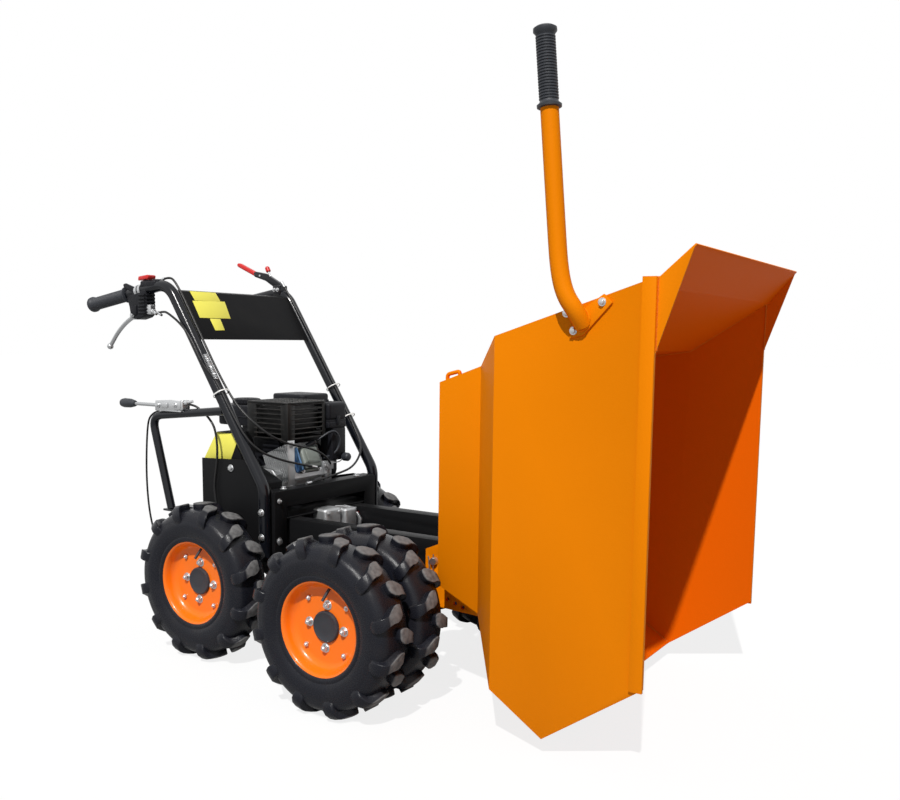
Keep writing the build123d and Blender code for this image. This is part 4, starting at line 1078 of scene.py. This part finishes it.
# %% Moulded housing, ribbed on its front
housing_parts = [plate_piece("housing", [(-868, -238, 924), (-790, -238, 944), (-788, -238, 876),
                                         (-800, -238, 868),
                                         (-826, -238, 862), (-852, -238, 866), (-858, -238, 896)],
                             (0, 34, 0), 5.0, 4)]
for number in range(6):
    z = 878 + 9.5 * number
    housing_parts.append(block_piece("rib", (-815, -242, z), (-789.5, -237, z + 5), 1.2))
    housing_parts.append(block_piece("rib", (-790, -236, z), (-785.5, -208, z + 5), 1.0))
housing_parts.append(block_piece("boss", (-848, -241.5, 874), (-824, -237, 900), 3.0, 3))
finish_piece(joined("clutch_housing", housing_parts), "chassis", "engine_plastic", "control_housing")

# %% Clamp band, adjuster and thumb lever on the right bar
def on_bar(distance, side=-1):
    """A place on the level end of a handlebar, measured from its bend."""
    return Vector((BEND_X, side * BAR_Y, BEND_Z)) + level * distance


band_rows = [(0, 15.2), (0, 17.6), (9, 17.6), (9, 15.2)]
bands = []
for distance in (98, 112):
    bands.append(turned_piece("band", band_rows, on_bar(distance), on_bar(distance + 20), 32, ring=True))
bands.append(bolt_piece("band_screw", tuple(on_bar(108) + Vector((0, -10, -15))), (0, -1, 0), 4.0, 4.0,
                        washer=False))
finish_piece(joined("clamp_bands", bands), "chassis", "zinc")
barrel_way = Vector((-700, -236, 858)) - Vector((-752, -226, 880))
barrel_rows = [(-14, 0), (-14, 5.2), (-8, 6.2), (-3, 6.2), (-2, 5), (6, 5), (7, 6.4), (13, 6.4), (14, 4.4),
               (24, 4.0), (25, 0)]
adjuster = turned_piece("adjuster", barrel_rows, (-774, -229, 886),
                        tuple(Vector((-774, -229, 886)) + barrel_way), 20)
adjuster_lug = block_piece("lug", (-789, -236, 876), (-772, -222, 902), 2.5)
finish_piece(joined("cable_adjuster", [adjuster, adjuster_lug]), "chassis", "zinc")

thumb = plate_piece("thumb_lever", [(-828, -237, 934), (-846, -237, 934), (-880, -237, 950),
                                    (-881, -237, 957),
                                    (-872, -237, 960), (-840, -237, 950), (-826, -237, 946)], (0, 7, 0), 2.4,
                    3)
finish_piece(thumb, "chassis", "engine_plastic")

# %% Clutch lever: a curved blade with a ball end
blade_line = [(-838, -224, 876), (-858, -224, 869), (-890, -224, 853), (-922, -224, 829), (-945, -224, 804),
              (-957, -224, 790)]
blade = skin("clutch_blade", blade_line, 5.6, smooth_line=True, round_steps=5)
ball_rows = [(-8.8, 0), (-7.6, 4.4), (-4.4, 7.6), (0, 8.8), (4.4, 7.6), (7.6, 4.4), (8.8, 0)]
ball = turned_piece("ball", ball_rows, (-959, -224, 788), (-959, -223, 788), 24)
pivot = bolt_piece("lever_pivot", (-842, -238.5, 874), (0, -1, 0), 4.5, 3.0)
lever_foot = block_piece("lever_foot", (-864, -233, 862), (-836, -215, 880), 5.0, 3)
finish_piece(joined("clutch_lever_blade", [blade, ball, pivot, lever_foot]), "chassis", "lever_metal",
             "clutch_lever", smooth=50)

# %% Switch housing and its red stop button
switch_parts = [block_piece("switch", (-812, -237, 947), (-752, -207, 965), 5.0, 4),
                block_piece("switch", (-770, -233, 950), (-744, -211, 969), 5.0, 3),
                block_piece("switch", (-806, -231, 962), (-782, -213, 968), 1.5)]
finish_piece(joined("stop_switch_body", switch_parts), "chassis", "engine_plastic", "switch_housing")
button = block_piece("button_neck", (-804, -229, 965), (-786, -215, 972), 1.5)
top = plate_piece("button_top", [(-822, -235, 966), (-781, -235, 970), (-779, -235, 979), (-783, -235, 981),
                                 (-820, -235, 977)], (0, 26, 0), 2.4, 3)
finish_piece(joined("stop_button", [button, top]), "chassis", "red_plastic", "stop_switch")

# %% Dump release on the left bar
release_parts = [plate_piece("release_bar", [(-724, BAR_Y - 9, 978), (-722, BAR_Y - 9, 964),
                                             (-738, BAR_Y - 9, 960),
                                             (-790, BAR_Y - 9, 990), (-838, BAR_Y - 9, 1004),
                                             (-840, BAR_Y - 9, 1016),
                                             (-832, BAR_Y - 9, 1020), (-788, BAR_Y - 9, 1012)], (0, 18, 0),
                             4.0, 3),
                 block_piece("release_clamp", (-752, BAR_Y - 18, 946), (-722, BAR_Y + 18, 976), 4.0, 3)]
finish_piece(joined("release_body", release_parts), "chassis", "frame_paint", "dump_release_body",
             finish=tube_paint)
paddle = plate_piece("red_paddle", [(-836, BAR_Y - 8, 1005), (-838, BAR_Y - 8, 1020), (-904, BAR_Y - 8, 1048),
                                    (-911, BAR_Y - 8, 1046), (-911, BAR_Y - 8, 1038),
                                    (-904, BAR_Y - 8, 1034)],
                     (0, 16, 0), 3.6, 3)
knob_rows = [(0, 0), (0, 6), (2, 7.5), (14, 7), (17, 4.5), (18, 0)]
small_knob = turned_piece("small_knob", knob_rows, (-783, BAR_Y, 1018), (-791, BAR_Y, 1034), 20)
finish_piece(joined("dump_release_red", [paddle, small_knob]), "chassis", "red_plastic",
             "dump_release_lever")
neck = skin("knob_neck", [(-774, BAR_Y, 998), (-784, BAR_Y, 1020)], 3.0)
screws = [bolt_piece("release_screw", (-744, BAR_Y - 18, 962), (0, -1, 0), 4.2, 3.5),
          bolt_piece("release_screw", (-730, BAR_Y - 18, 962), (0, -1, 0), 4.2, 3.5),
          bolt_piece("release_screw", (-810, BAR_Y - 9, 1006), (0, -1, 0), 3.6, 3.0, washer=False)]
finish_piece(joined("release_fittings", [neck] + screws), "chassis", "zinc")

# %% Gear lever, its channel and its bracket
bracket_line = bent([(-726, -222, 352), (-795, -222, 602), (-517.6, -222, 629)], 34)
bracket = skin("bracket_tube", bracket_line, 11, round_steps=6)
strap = block_piece("strap", (-744, -236, 346.2), (-627, -150, 351.8), 1.2)
finish_piece(joined("gear_bracket_tube", [bracket, strap]), "chassis", "frame_paint", "gear_bracket",
             smooth=40, finish=tube_paint)
channel_parts = [plate_piece("channel", [(-764, -237.5, 620), (-762, -237.5, 646), (-700, -237.5, 650),
                                         (-664, -237.5, 648),
                                         (-664, -237.5, 626), (-700, -237.5, 621)], (0, 3, 0), 1.2),
                 plate_piece("channel", [(-764, -207, 620), (-762, -207, 640), (-664, -207, 642),
                                         (-664, -207, 626)],
                             (0, 2.5, 0), 1.0),
                 block_piece("channel", (-764, -237, 618.5), (-664, -205, 622.5), 1.2),
                 block_piece("end_lug", (-670, -236, 624), (-658, -210, 650), 3.0, 3),
                 block_piece("pad", (-736, -241, 628), (-712, -237, 642), 2.0, 3)]
for place_c in ((-752, -238, 633), (-684, -238, 636)):
    channel_parts.append(bolt_piece("channel_bolt", place_c, (0, -1, 0), 5.0, 4.0))
finish_piece(joined("bright_channel", channel_parts), "chassis", "zinc", "gear_lever_channel")
rod_run = skin("gear_rod", [(-862, -222, 632), (-690, -222, 632)], 5.0)
rod_pin = bolt_piece("rod_pin", (-690, -228, 632), (0, -1, 0), 5.0, 4.0)
collar = turned_piece("rod_collar", [(0, 0), (0, 8), (12, 8), (14, 6), (14, 0)], (-768, -222, 632),
                      (-754, -222, 632), 24)
finish_piece(joined("gear_lever_rod", [rod_run, rod_pin, collar]), "chassis", "lever_metal", "gear_lever")
knob_rows = [(0, 0), (0, 7.5), (4, 9), (20, 12.4), (44, 13), (54, 11), (58, 7), (59, 0)]
gear_knob = turned_piece("gear_knob_turned", knob_rows, (-862, -222, 632), (-921, -222, 632), 32)
finish_piece(gear_knob, "chassis", "rubber", "gear_knob")
joint_rows = [(0, 0), (0, 4.6), (10, 4.6), (11, 6.4), (19, 6.4), (20, 4.2), (34, 3.9), (35, 0)]
cable_end = turned_piece("gear_cable_end", joint_rows, (-668, -226, 640), (-628, -219, 650), 20)
finish_piece(cable_end, "chassis", "zinc")
print("controls done:", len(made))

# %% [markdown]
# ## Control cables
#
# A control cable is a smooth black sheath that is tied to the bars. Each is one spline
# through the points of its run, round where its solid has four flats. White ties, a bright
# spring and bright end ferrules hold them. A fifth sheath hangs slack behind the gear
# lever's bracket and runs in to the rear axle.

# %% The cables
CABLES = {
    "throttle_cable": [(-752, -216, 966), (-722, -215, 976), (-696, -214, 962), raked(880, 18, -213),
                       raked(668, 16, -213),
                       (-434, -203, 600), (-388, -150, 549), (-386, -40, 526), (-392, 30, 498),
                       (-402, 60, 472)],
    "clutch_cable": [(-752, -226, 880), (-724, -233, 884), (-697, -240, 878), (-649, -243, 852),
                     (-608, -246, 815),
                     raked(762, 11, -246), raked(745, 9, -242),
                     raked(708, 17, -231), raked(628, 17, -231), (-424, -222, 542), (-386, -150, 500),
                     (-386, -20, 472)],
    "gear_cable": [(-663, -226, 640), (-632, -222, 641), (-606, -215, 624), (-580, -213, 604),
                   (-562, -212.7, 581),
                   (-554, -212.7, 537), (-557, -212.7, 487), (-569, -212.7, 430), (-564, -212.7, 387),
                   (-553, -212.7, 350), (-551, -212.7, 262)],
    "dump_cable": [(-720, 213, 984), raked(880, 20, 213), raked(572, 16, 213), (-394, 193, 506),
                   (-384, 148, 460),
                   (-380, 78, 444), (-377, -64, 434)],
}
for node, route in CABLES.items():
    sheath = skin("smooth_" + node, route, 3.0, smooth_line=True, round_steps=4)
    finish_piece(sheath, "chassis", "cable_sheath", node, smooth=50)

slack_route = [(-770, -219, 616), (-803, -222, 608), (-818, -222, 561), (-827, -222, 421), (-818, -218, 300),
               (-790, -205, 215), (-710, -165, 190), (-610, -70, 205)]
slack_cable = skin("slack_cable", slack_route, 2.6, smooth_line=True, round_steps=4)
finish_piece(slack_cable, "chassis", "cable_sheath", smooth=50)

# %% Ties, spring and ferrules
ties = []
for z, side in ((674, -1), (674, 1), (588, 1)):
    tie_low = raked(z, 0, side * BAR_Y)
    along = (Vector(raked(z + 50, 0, side * BAR_Y)) - Vector(tie_low)).normalized()
    rows = [(-1.5, 20.5), (-1.5, 22.0), (1.5, 22.0), (1.5, 20.5)]
    centre = Vector(raked(z, 4.5, side * (BAR_Y - (0 if side < 0 else 1.5))))
    ties.append(turned_piece("tie", rows, centre, centre + along, 32, ring=True))
    lock = centre + Vector((20, -side * 6, 8))
    ties.append(block_piece("lock", lock - Vector((1.5, 1.5, 1.5)), lock + Vector((1.5, 1.5, 1.5)), 0.6))
finish_piece(joined("white_cable_ties", ties), "chassis", "white_plastic", "cable_ties")
SPRING_TURNS, TURN_STEPS = 15, 10
spring_line = []
for number in range(SPRING_TURNS * TURN_STEPS + 1):
    turn = 2 * pi * number / TURN_STEPS
    z = 774 - 62 * number / (SPRING_TURNS * TURN_STEPS)
    spring_line.append(raked(z, 19.5 + 5.2 * cos(turn), -231 + 5.2 * sin(turn)))
spring = skin("adjuster_spring", spring_line, 1.3, round_steps=1)
finish_piece(spring, "chassis", "zinc")
ferrules = []
for start, end in (((-752, -226, 880), (-700, -236, 858)), ((-752, -216, 966), (-722, -215, 976)),
                   ((-720, 213, 984), raked(880, 20, 213)), ((-377, -64, 434), (-377, 0, 438)),
                   ((-386, -20, 472), (-386, -150, 500))):
    rows = [(-3, 0), (-3, 4.2), (10, 4.2), (12, 3.4), (16, 3.4), (16, 0)]
    ferrules.append(turned_piece("ferrule", rows, start, end, 16))
finish_piece(joined("cable_ferrules", ferrules), "chassis", "zinc")
print("cables done:", len(made))

# %% [markdown]
# ## Engine
#
# The engine is an open one-cylinder machine. Its block, finned cylinder and valve cover
# lean forward. Above sit the exhaust in its slotted guard and a black tank, on the left are
# the fan housing with its pull starter and the air filter, and on the right a belt guard.
# Castings are softened copies, and what turns or repeats is made here.

# %% Castings and covers as softened copies
for node, slot, rounding in (
        ("engine_block", "cast_aluminium", 3.0), ("muffler", "guard_paint", 6.0),
        ("fuel_tank", "engine_plastic", 9.0), ("fan_housing", "engine_plastic", 4.0),
        ("belt_guard", "frame_paint", 2.0), ("muffler_stay", "zinc", 0.7),
        ("carburettor", "cast_aluminium", 2.0)):
    softened_copy(node, node + "_piece", "chassis", slot, rounding, 3)

# %% A frame that leans with the cylinder
LEAN = radians(67)
crank = Vector((-545, -8, 440))
lean_way = Vector((sin(LEAN), 0, cos(LEAN)))
up_way = Vector((-cos(LEAN), 0, sin(LEAN)))


def leaning(away, across, up):
    """A place measured from the crank along the cylinder, across it, and square to both."""
    return crank + lean_way * away + Vector((0, across, 0)) + up_way * up


def leaning_block(name, near, far, wide, high, rounding, steps=2, across=0.0, up=0.0):
    corners = [leaning(near, across + a * wide / 2, up + b * high / 2) for a,
               b in ((-1, -1), (1, -1), (1, 1), (-1, 1))]
    return plate_piece(name, corners, lean_way * (far - near), rounding, steps)


# %% Finned cylinder
FINS = 13
fins = [leaning_block("barrel", 24, 124, 88, 74, 6.0)]
for number in range(FINS):
    near = 36 + (121 - 36) * number / (FINS - 1)
    fins.append(leaning_block("fin", near, near + 2.2, 129, 97, 0.8))
for across in (-48, 48):
    for up in (-36, 36):
        fins.append(leaning_block("post", 40, 124, 12, 12, 2.0, across=across, up=up))
whole_cylinder = joined("finned_cylinder", fins)
finish_piece(whole_cylinder, "chassis", "cast_aluminium", "cylinder")

# %% Valve cover with its raised front and four screws
cover_parts = [leaning_block("cover_foot", 124.2, 130, 74, 72, 1.5),
               leaning_block("cover_body", 129, 149, 68, 64, 9.0, 4),
               leaning_block("cover_panel", 148.5, 151.6, 44, 38, 1.5, 3)]
finish_piece(joined("valve_cover_cast", cover_parts), "chassis", "cover_paint", "valve_cover")
screws = []
for across, up in ((-33, -32), (33, -32), (33, 32), (-33, 32)):
    screws.append(bolt_piece("cover_screw", leaning(130, across, up), lean_way, 4.4, 4.0))
screws.append(bolt_piece("drain_plug", (-459.8, 30, 380), (1, 0, 0), 7.0, 5.0))
screws.append(bolt_piece("drain_plug", (-459.8, -60, 380), (1, 0, 0), 7.0, 5.0))
finish_piece(joined("engine_screws", screws), "chassis", "zinc")
gasket = leaning_block("cover_gasket", 123.4, 124.6, 77, 75, 0.0)
finish_piece(gasket, "chassis", "rubber")
shroud_parts = [leaning_block("shroud", 100, 143, 7, 66, 3.0, 3, across=-42),
                leaning_block("shroud", 100, 128, 14, 70, 4.0, 3, across=-46)]
finish_piece(joined("head_shroud", shroud_parts), "chassis", "lever_metal", finish=blue_steel)

# %% Exhaust guard: bent bars, a broad front post and a meshed top
X0, X1, Y0, Y1, Z0, Z1 = -558, -410, -100, 50, 548, 650
bars = []
BARS = 8
for number in range(BARS):
    z = Z0 + 3 + (Z1 - Z0 - 12) * number / (BARS - 1)
    loop = bent([(X0 + 24, Y0 + 1.5, z), (X1 - 1.5, Y0 + 1.5, z), (X1 - 1.5, Y1 - 1.5, z),
                 (X0 + 24, Y1 - 1.5, z)], 16, 5)
    bars.append(skin("bar", loop, 2.1, round_steps=2))
post = plate_piece("post", [(X1 - 26, Y0 - 0.2, Z0), (X1 - 8, Y0 - 0.2, Z0), (X1 - 2.5, Y0 + 2, Z0),
                            (X1 - 0.2, Y0 + 8, Z0), (X1 - 0.2, Y0 + 26, Z0), (X1 - 3, Y0 + 26, Z0),
                            (X1 - 3, Y0 + 9, Z0), (X1 - 5, Y0 + 4.5, Z0), (X1 - 9, Y0 + 2.6, Z0),
                            (X1 - 26, Y0 + 2.6, Z0)], (0, 0, Z1 - Z0 - 2), 0.8)
bars.append(post)
bars.append(block_piece("back_post", (X0, Y0, Z0), (X0 + 34, Y0 + 3, Z1 - 2), 1.0))
bars.append(block_piece("left_post", (X1 - 3, Y1 - 14, Z0), (X1, Y1, Z1 - 2), 1.0))
bars.append(block_piece("back_sheet", (X0, Y1 - 3, Z0), (X0 + 30, Y1, Z1 - 2), 1.0))
top_outline = [(X0 + 4, Y0), (X1 - 14, Y0), (X1 - 4, Y0 + 4), (X1, Y0 + 14), (X1, Y1 - 14), (X1 - 4, Y1 - 4),
               (X1 - 14, Y1), (X0 + 4, Y1)]
rim_top = bent([(x, y, Z1 - 4) for x, y in top_outline] + [(top_outline[0][0], top_outline[0][1], Z1 - 4)],
               4, 3)
bars.append(skin("top_rim", rim_top, 3.0, round_steps=3))
for number in range(13):
    x = X0 + 12 + (X1 - X0 - 24) * number / 12
    bars.append(block_piece("top_slat", (x - 2.2, Y0 + 4, Z1 - 5), (x + 2.2, Y1 - 4, Z1 - 2), 0.8, 1))
for number in range(7):
    y = Y0 + 10 + (Y1 - Y0 - 20) * number / 6
    bars.append(block_piece("top_slat", (X0 + 4, y - 2.2, Z1 - 4), (X1 - 4, y + 2.2, Z1 - 1), 0.8, 1))
finish_piece(joined("exhaust_guard", bars), "chassis", "guard_paint", "muffler_guard", smooth=40)
inner = block_piece("exhaust_shield", (X0 + 8, Y0 + 12, Z0 + 6), (X0 + 12, Y1 - 12, Z1 - 12), 1.0)
finish_piece(inner, "chassis", "guard_paint")

# %% Tank seam and cap
seam_line = bent([(-700.5, -60, 600), (-700.5, -80.5, 600), (-563, -80.5, 600), (-563, -62, 600)], 12, 4)
seam = skin("tank_seam", seam_line, 2.2, round_steps=2)
back_line = bent([(-700.5, -62, 600), (-700.5, 172.5, 600), (-495, 172.5, 600), (-494.5, 62, 600)], 12, 4)
seam_back = skin("tank_seam_back", back_line, 2.2, round_steps=2)
finish_piece(joined("tank_seams", [seam, seam_back]), "chassis", "engine_plastic")
cap_rows = [(-2, 0), (-2, 33), (0.5, 34), (1, 37), (2.5, 38), (12.5, 37.6), (14.5, 36), (15.5, 32),
            (13.4, 27),
            (13.2, 9), (15, 7), (15, 0)]
cap_z = measured("fuel_cap")[0][2]
cap = turned_piece("cap_disc", cap_rows, (-632, -28, cap_z + 0.6), (-632, -28, cap_z + 45), 48)
knurls = [cap]
for number in range(24):
    angle = 2 * pi * number / 24
    place_k = Vector((-632 + 37.4 * cos(angle), -28 + 37.4 * sin(angle), cap_z + 8.5))
    knurls.append(block_piece("knurl", place_k - Vector((1.5, 1.5, 5)), place_k + Vector((1.5, 1.5, 4.5)),
                              0.9, 1))
finish_piece(joined("ribbed_fuel_cap", knurls), "chassis", "engine_plastic", "fuel_cap")

# %% Pull starter
starter_rows = [(0.4, 0), (0.4, 78), (4, 78), (7, 76), (18, 69), (22, 64), (26, 44), (27, 38), (27, 14),
                (25, 11), (25, 0)]
starter = turned_piece("starter_cup", starter_rows, (-545, 145, 455), (-545, 172, 455), 48)
cuts = [starter]
for number in range(12):
    angle = 2 * pi * number / 12
    centre = Vector((-545 + 52 * cos(angle), 168, 455 + 52 * sin(angle)))
    vane = block_piece("vane", centre - Vector((2.2, 1.6, 9)), centre + Vector((2.2, 2.2, 9)), 1.0, 1)
    spin_vane = Matrix.Translation(at(*centre)) @ Matrix.Rotation(pi / 2 - angle, 4,
                                                                  "Y") @ Matrix.Translation(-at(*centre))
    vane.data.transform(spin_vane)
    cuts.append(vane)
cuts.append(block_piece("pull_handle", (-560, 160, 520), (-500, 172, 534), 5.0, 3))
for angle in (0.7, 2.3, 3.9, 5.5):
    cuts.append(bolt_piece("starter_bolt", (-545 + 73 * cos(angle), 149, 455 + 73 * sin(angle)), (0, 1, 0),
                           4.5, 3.5))
finish_piece(joined("pull_starter", cuts), "chassis", "engine_plastic", "recoil_starter", smooth=40)

# %% Air filter: a lidded box with a clip and a lower duct
filter_parts = [block_piece("filter_base", (-490, 53, 569), (-400, 128, 590), 5.0, 3),
                block_piece("filter_lid", (-490.5, 52.5, 591), (-399.5, 128.5, 641.5), 10.0, 4),
                block_piece("filter_lip", (-489, 54, 586), (-401, 127, 594), 1.0),
                block_piece("duct", (-448, 68, 478), (-401, 128, 572), 7.0, 3),
                block_piece("clip", (-400.5, 84, 577), (-397.2, 98, 604), 1.2)]
filter_parts.append(turned_piece("wing_nut", [(0, 0), (0, 9), (6, 8), (7, 4), (10, 4), (10, 0)],
                                 (-445, 92, 641),
                                 (-445, 92, 660), 24))
finish_piece(joined("air_filter_box", filter_parts), "chassis", "engine_plastic", "air_filter")

# %% Spark lead, fuel pipe and small fittings
lead = skin("spark_lead", [(-416, 22, 540), (-408, 34, 549), (-397, 52, 562), (-394, 72, 563),
                           (-393, 89, 543),
                           (-394, 90, 520), (-402, 74, 494), (-430, 64, 486)], 3.2, smooth_line=True,
            round_steps=4)
boot = turned_piece("boot", [(0, 0), (0, 8), (14, 8), (20, 6), (26, 4.4), (27, 0)], (-436, 2, 522),
                    (-416, 22, 540), 24)
pipe = skin("fuel_pipe", [(-560, 60, 580), (-520, 52, 560), (-470, 58, 520), (-446, 62, 470)], 4.0,
            smooth_line=True,
            round_steps=4)
finish_piece(joined("engine_leads", [lead, boot, pipe]), "chassis", "rubber", smooth=50)
fittings = []
for place_f, way, size in (((-408, 48, 466), (1, 0, 0), 5), ((-408, 66, 470), (1, 0, 0), 4),
                           ((-427, 80, 466), (0, 1, 0), 5),
                           ((-409.8, -88, 536), (1, 0, 0), 5.5), ((-409.8, -88, 420), (1, 0, 0), 5.5)):
    fittings.append(bolt_piece("fitting", place_f, way, size, 4))
bowl = turned_piece("bowl", [(0, 0), (0, 10), (3, 13.5), (28, 14), (30, 12), (31.2, 0)], (-427, 72, 423.4),
                    (-427, 72, 455), 28)
spindle = turned_piece("spindle", [(0, 0), (0, 5), (14, 5), (14, 0)], (-446, 66, 468), (-470, 66, 468), 16)
fittings += [bowl, spindle]
rods = skin("governor_rod", [(-404, 62, 474), (-402, 100, 470), (-404, 118, 486), (-420, 126, 500)], 1.6,
            smooth_line=True, round_steps=2)
fittings.append(rods)
finish_piece(joined("carburettor_fittings", fittings), "chassis", "cast_aluminium", smooth=40)
bulb = turned_piece("primer", [(0, 0), (0, 11), (3, 12), (16, 12), (20, 9), (22, 0)], (-401, 116, 486),
                    (-379, 116, 486), 28)
finish_piece(bulb, "chassis", "rubber")

# %% The belt guard's blank yellow plate
guard_face = measured("belt_guard")[0][1] - 0.4
guard_corners = [(-632, 495), (-584.5, 567), (-521, 567), (-508, 548), (-534, 495)]
guard_plate = plate_piece("guard_plate", [(x, guard_face, z) for x, z in guard_corners], (0, -0.7, 0), 0.2)
finish_piece(guard_plate, "chassis", "white_plastic", finish=yellow_plate)
print("engine done:", len(made))

# %% [markdown]
# ## Latch under the angle iron
#
# Behind the angle iron a bright hook is pulled by a coil spring, and a red rod runs down
# beside it to hold the skip.

# %% Hook, spring and red rod
softened_copy("latch_hook", "latch_hook_piece", "chassis", "zinc", 0.8)
LATCH_TURNS = 9
coil = []
for number in range(LATCH_TURNS * TURN_STEPS + 1):
    turn = 2 * pi * number / TURN_STEPS
    along = number / (LATCH_TURNS * TURN_STEPS)
    coil.append((-341 + 5.5 * cos(turn), 46 + 44 * along, 357 - 12 * along + 5.5 * sin(turn)))
latch_spring = skin("latch_spring", coil, 1.4, round_steps=1)
arm = plate_piece("latch_arm", [(-343, 84, 352), (-343, 98, 350), (-343, 99, 316), (-343, 90, 300),
                                (-343, 84, 312)],
                  (4, 0, 0), 0.8)
tail = skin("latch_tail", [(-341, 52, 357), (-343, 40, 360), (-352, 20, 362)], 2.4, round_steps=2)
finish_piece(joined("latch_spring_arm", [latch_spring, arm, tail]), "chassis", "zinc", smooth=45)
red_rod = skin("latch_rod", [(-338, 100, 336), (-333, 104.5, 312)], 2.6)
finish_piece(red_rod, "chassis", "red_plastic")
gearbox_cover = [block_piece("cover", (-386, -38, 268), (-334, 26, 362), 9.0, 4),
                 block_piece("cover", (-386, 30, 272), (-322, 78, 356), 8.0, 4),
                 block_piece("cover", (-386, -30, 224), (-352, 70, 290), 8.0, 3)]
for y, z in ((-28, 282), (-28, 350), (16, 282), (16, 350)):
    gearbox_cover.append(bolt_piece("cover_bolt", (-334, y, z), (1, 0, 0), 4, 3.5))
finish_piece(joined("gearbox_covers", gearbox_cover), "chassis", "cast_aluminium")
print("latch done:", len(made))

# %% [markdown]
# ## Finishes for the solids that stay
#
# Solids whose shape is already right stay as they are. Each gets the finish of its slot in
# the record, so that nothing shows as bare clay.

# %% The solids that stay
for entry in frame["record"]["subparts"]:
    solid = frame["nodes"][entry["node"]]
    solid.data.materials.clear()
    solid.data.materials.append(slot_finish[entry["material_slot"]])

# %% Sizes
print("pieces", len(made), "faces", sum(made.values()))
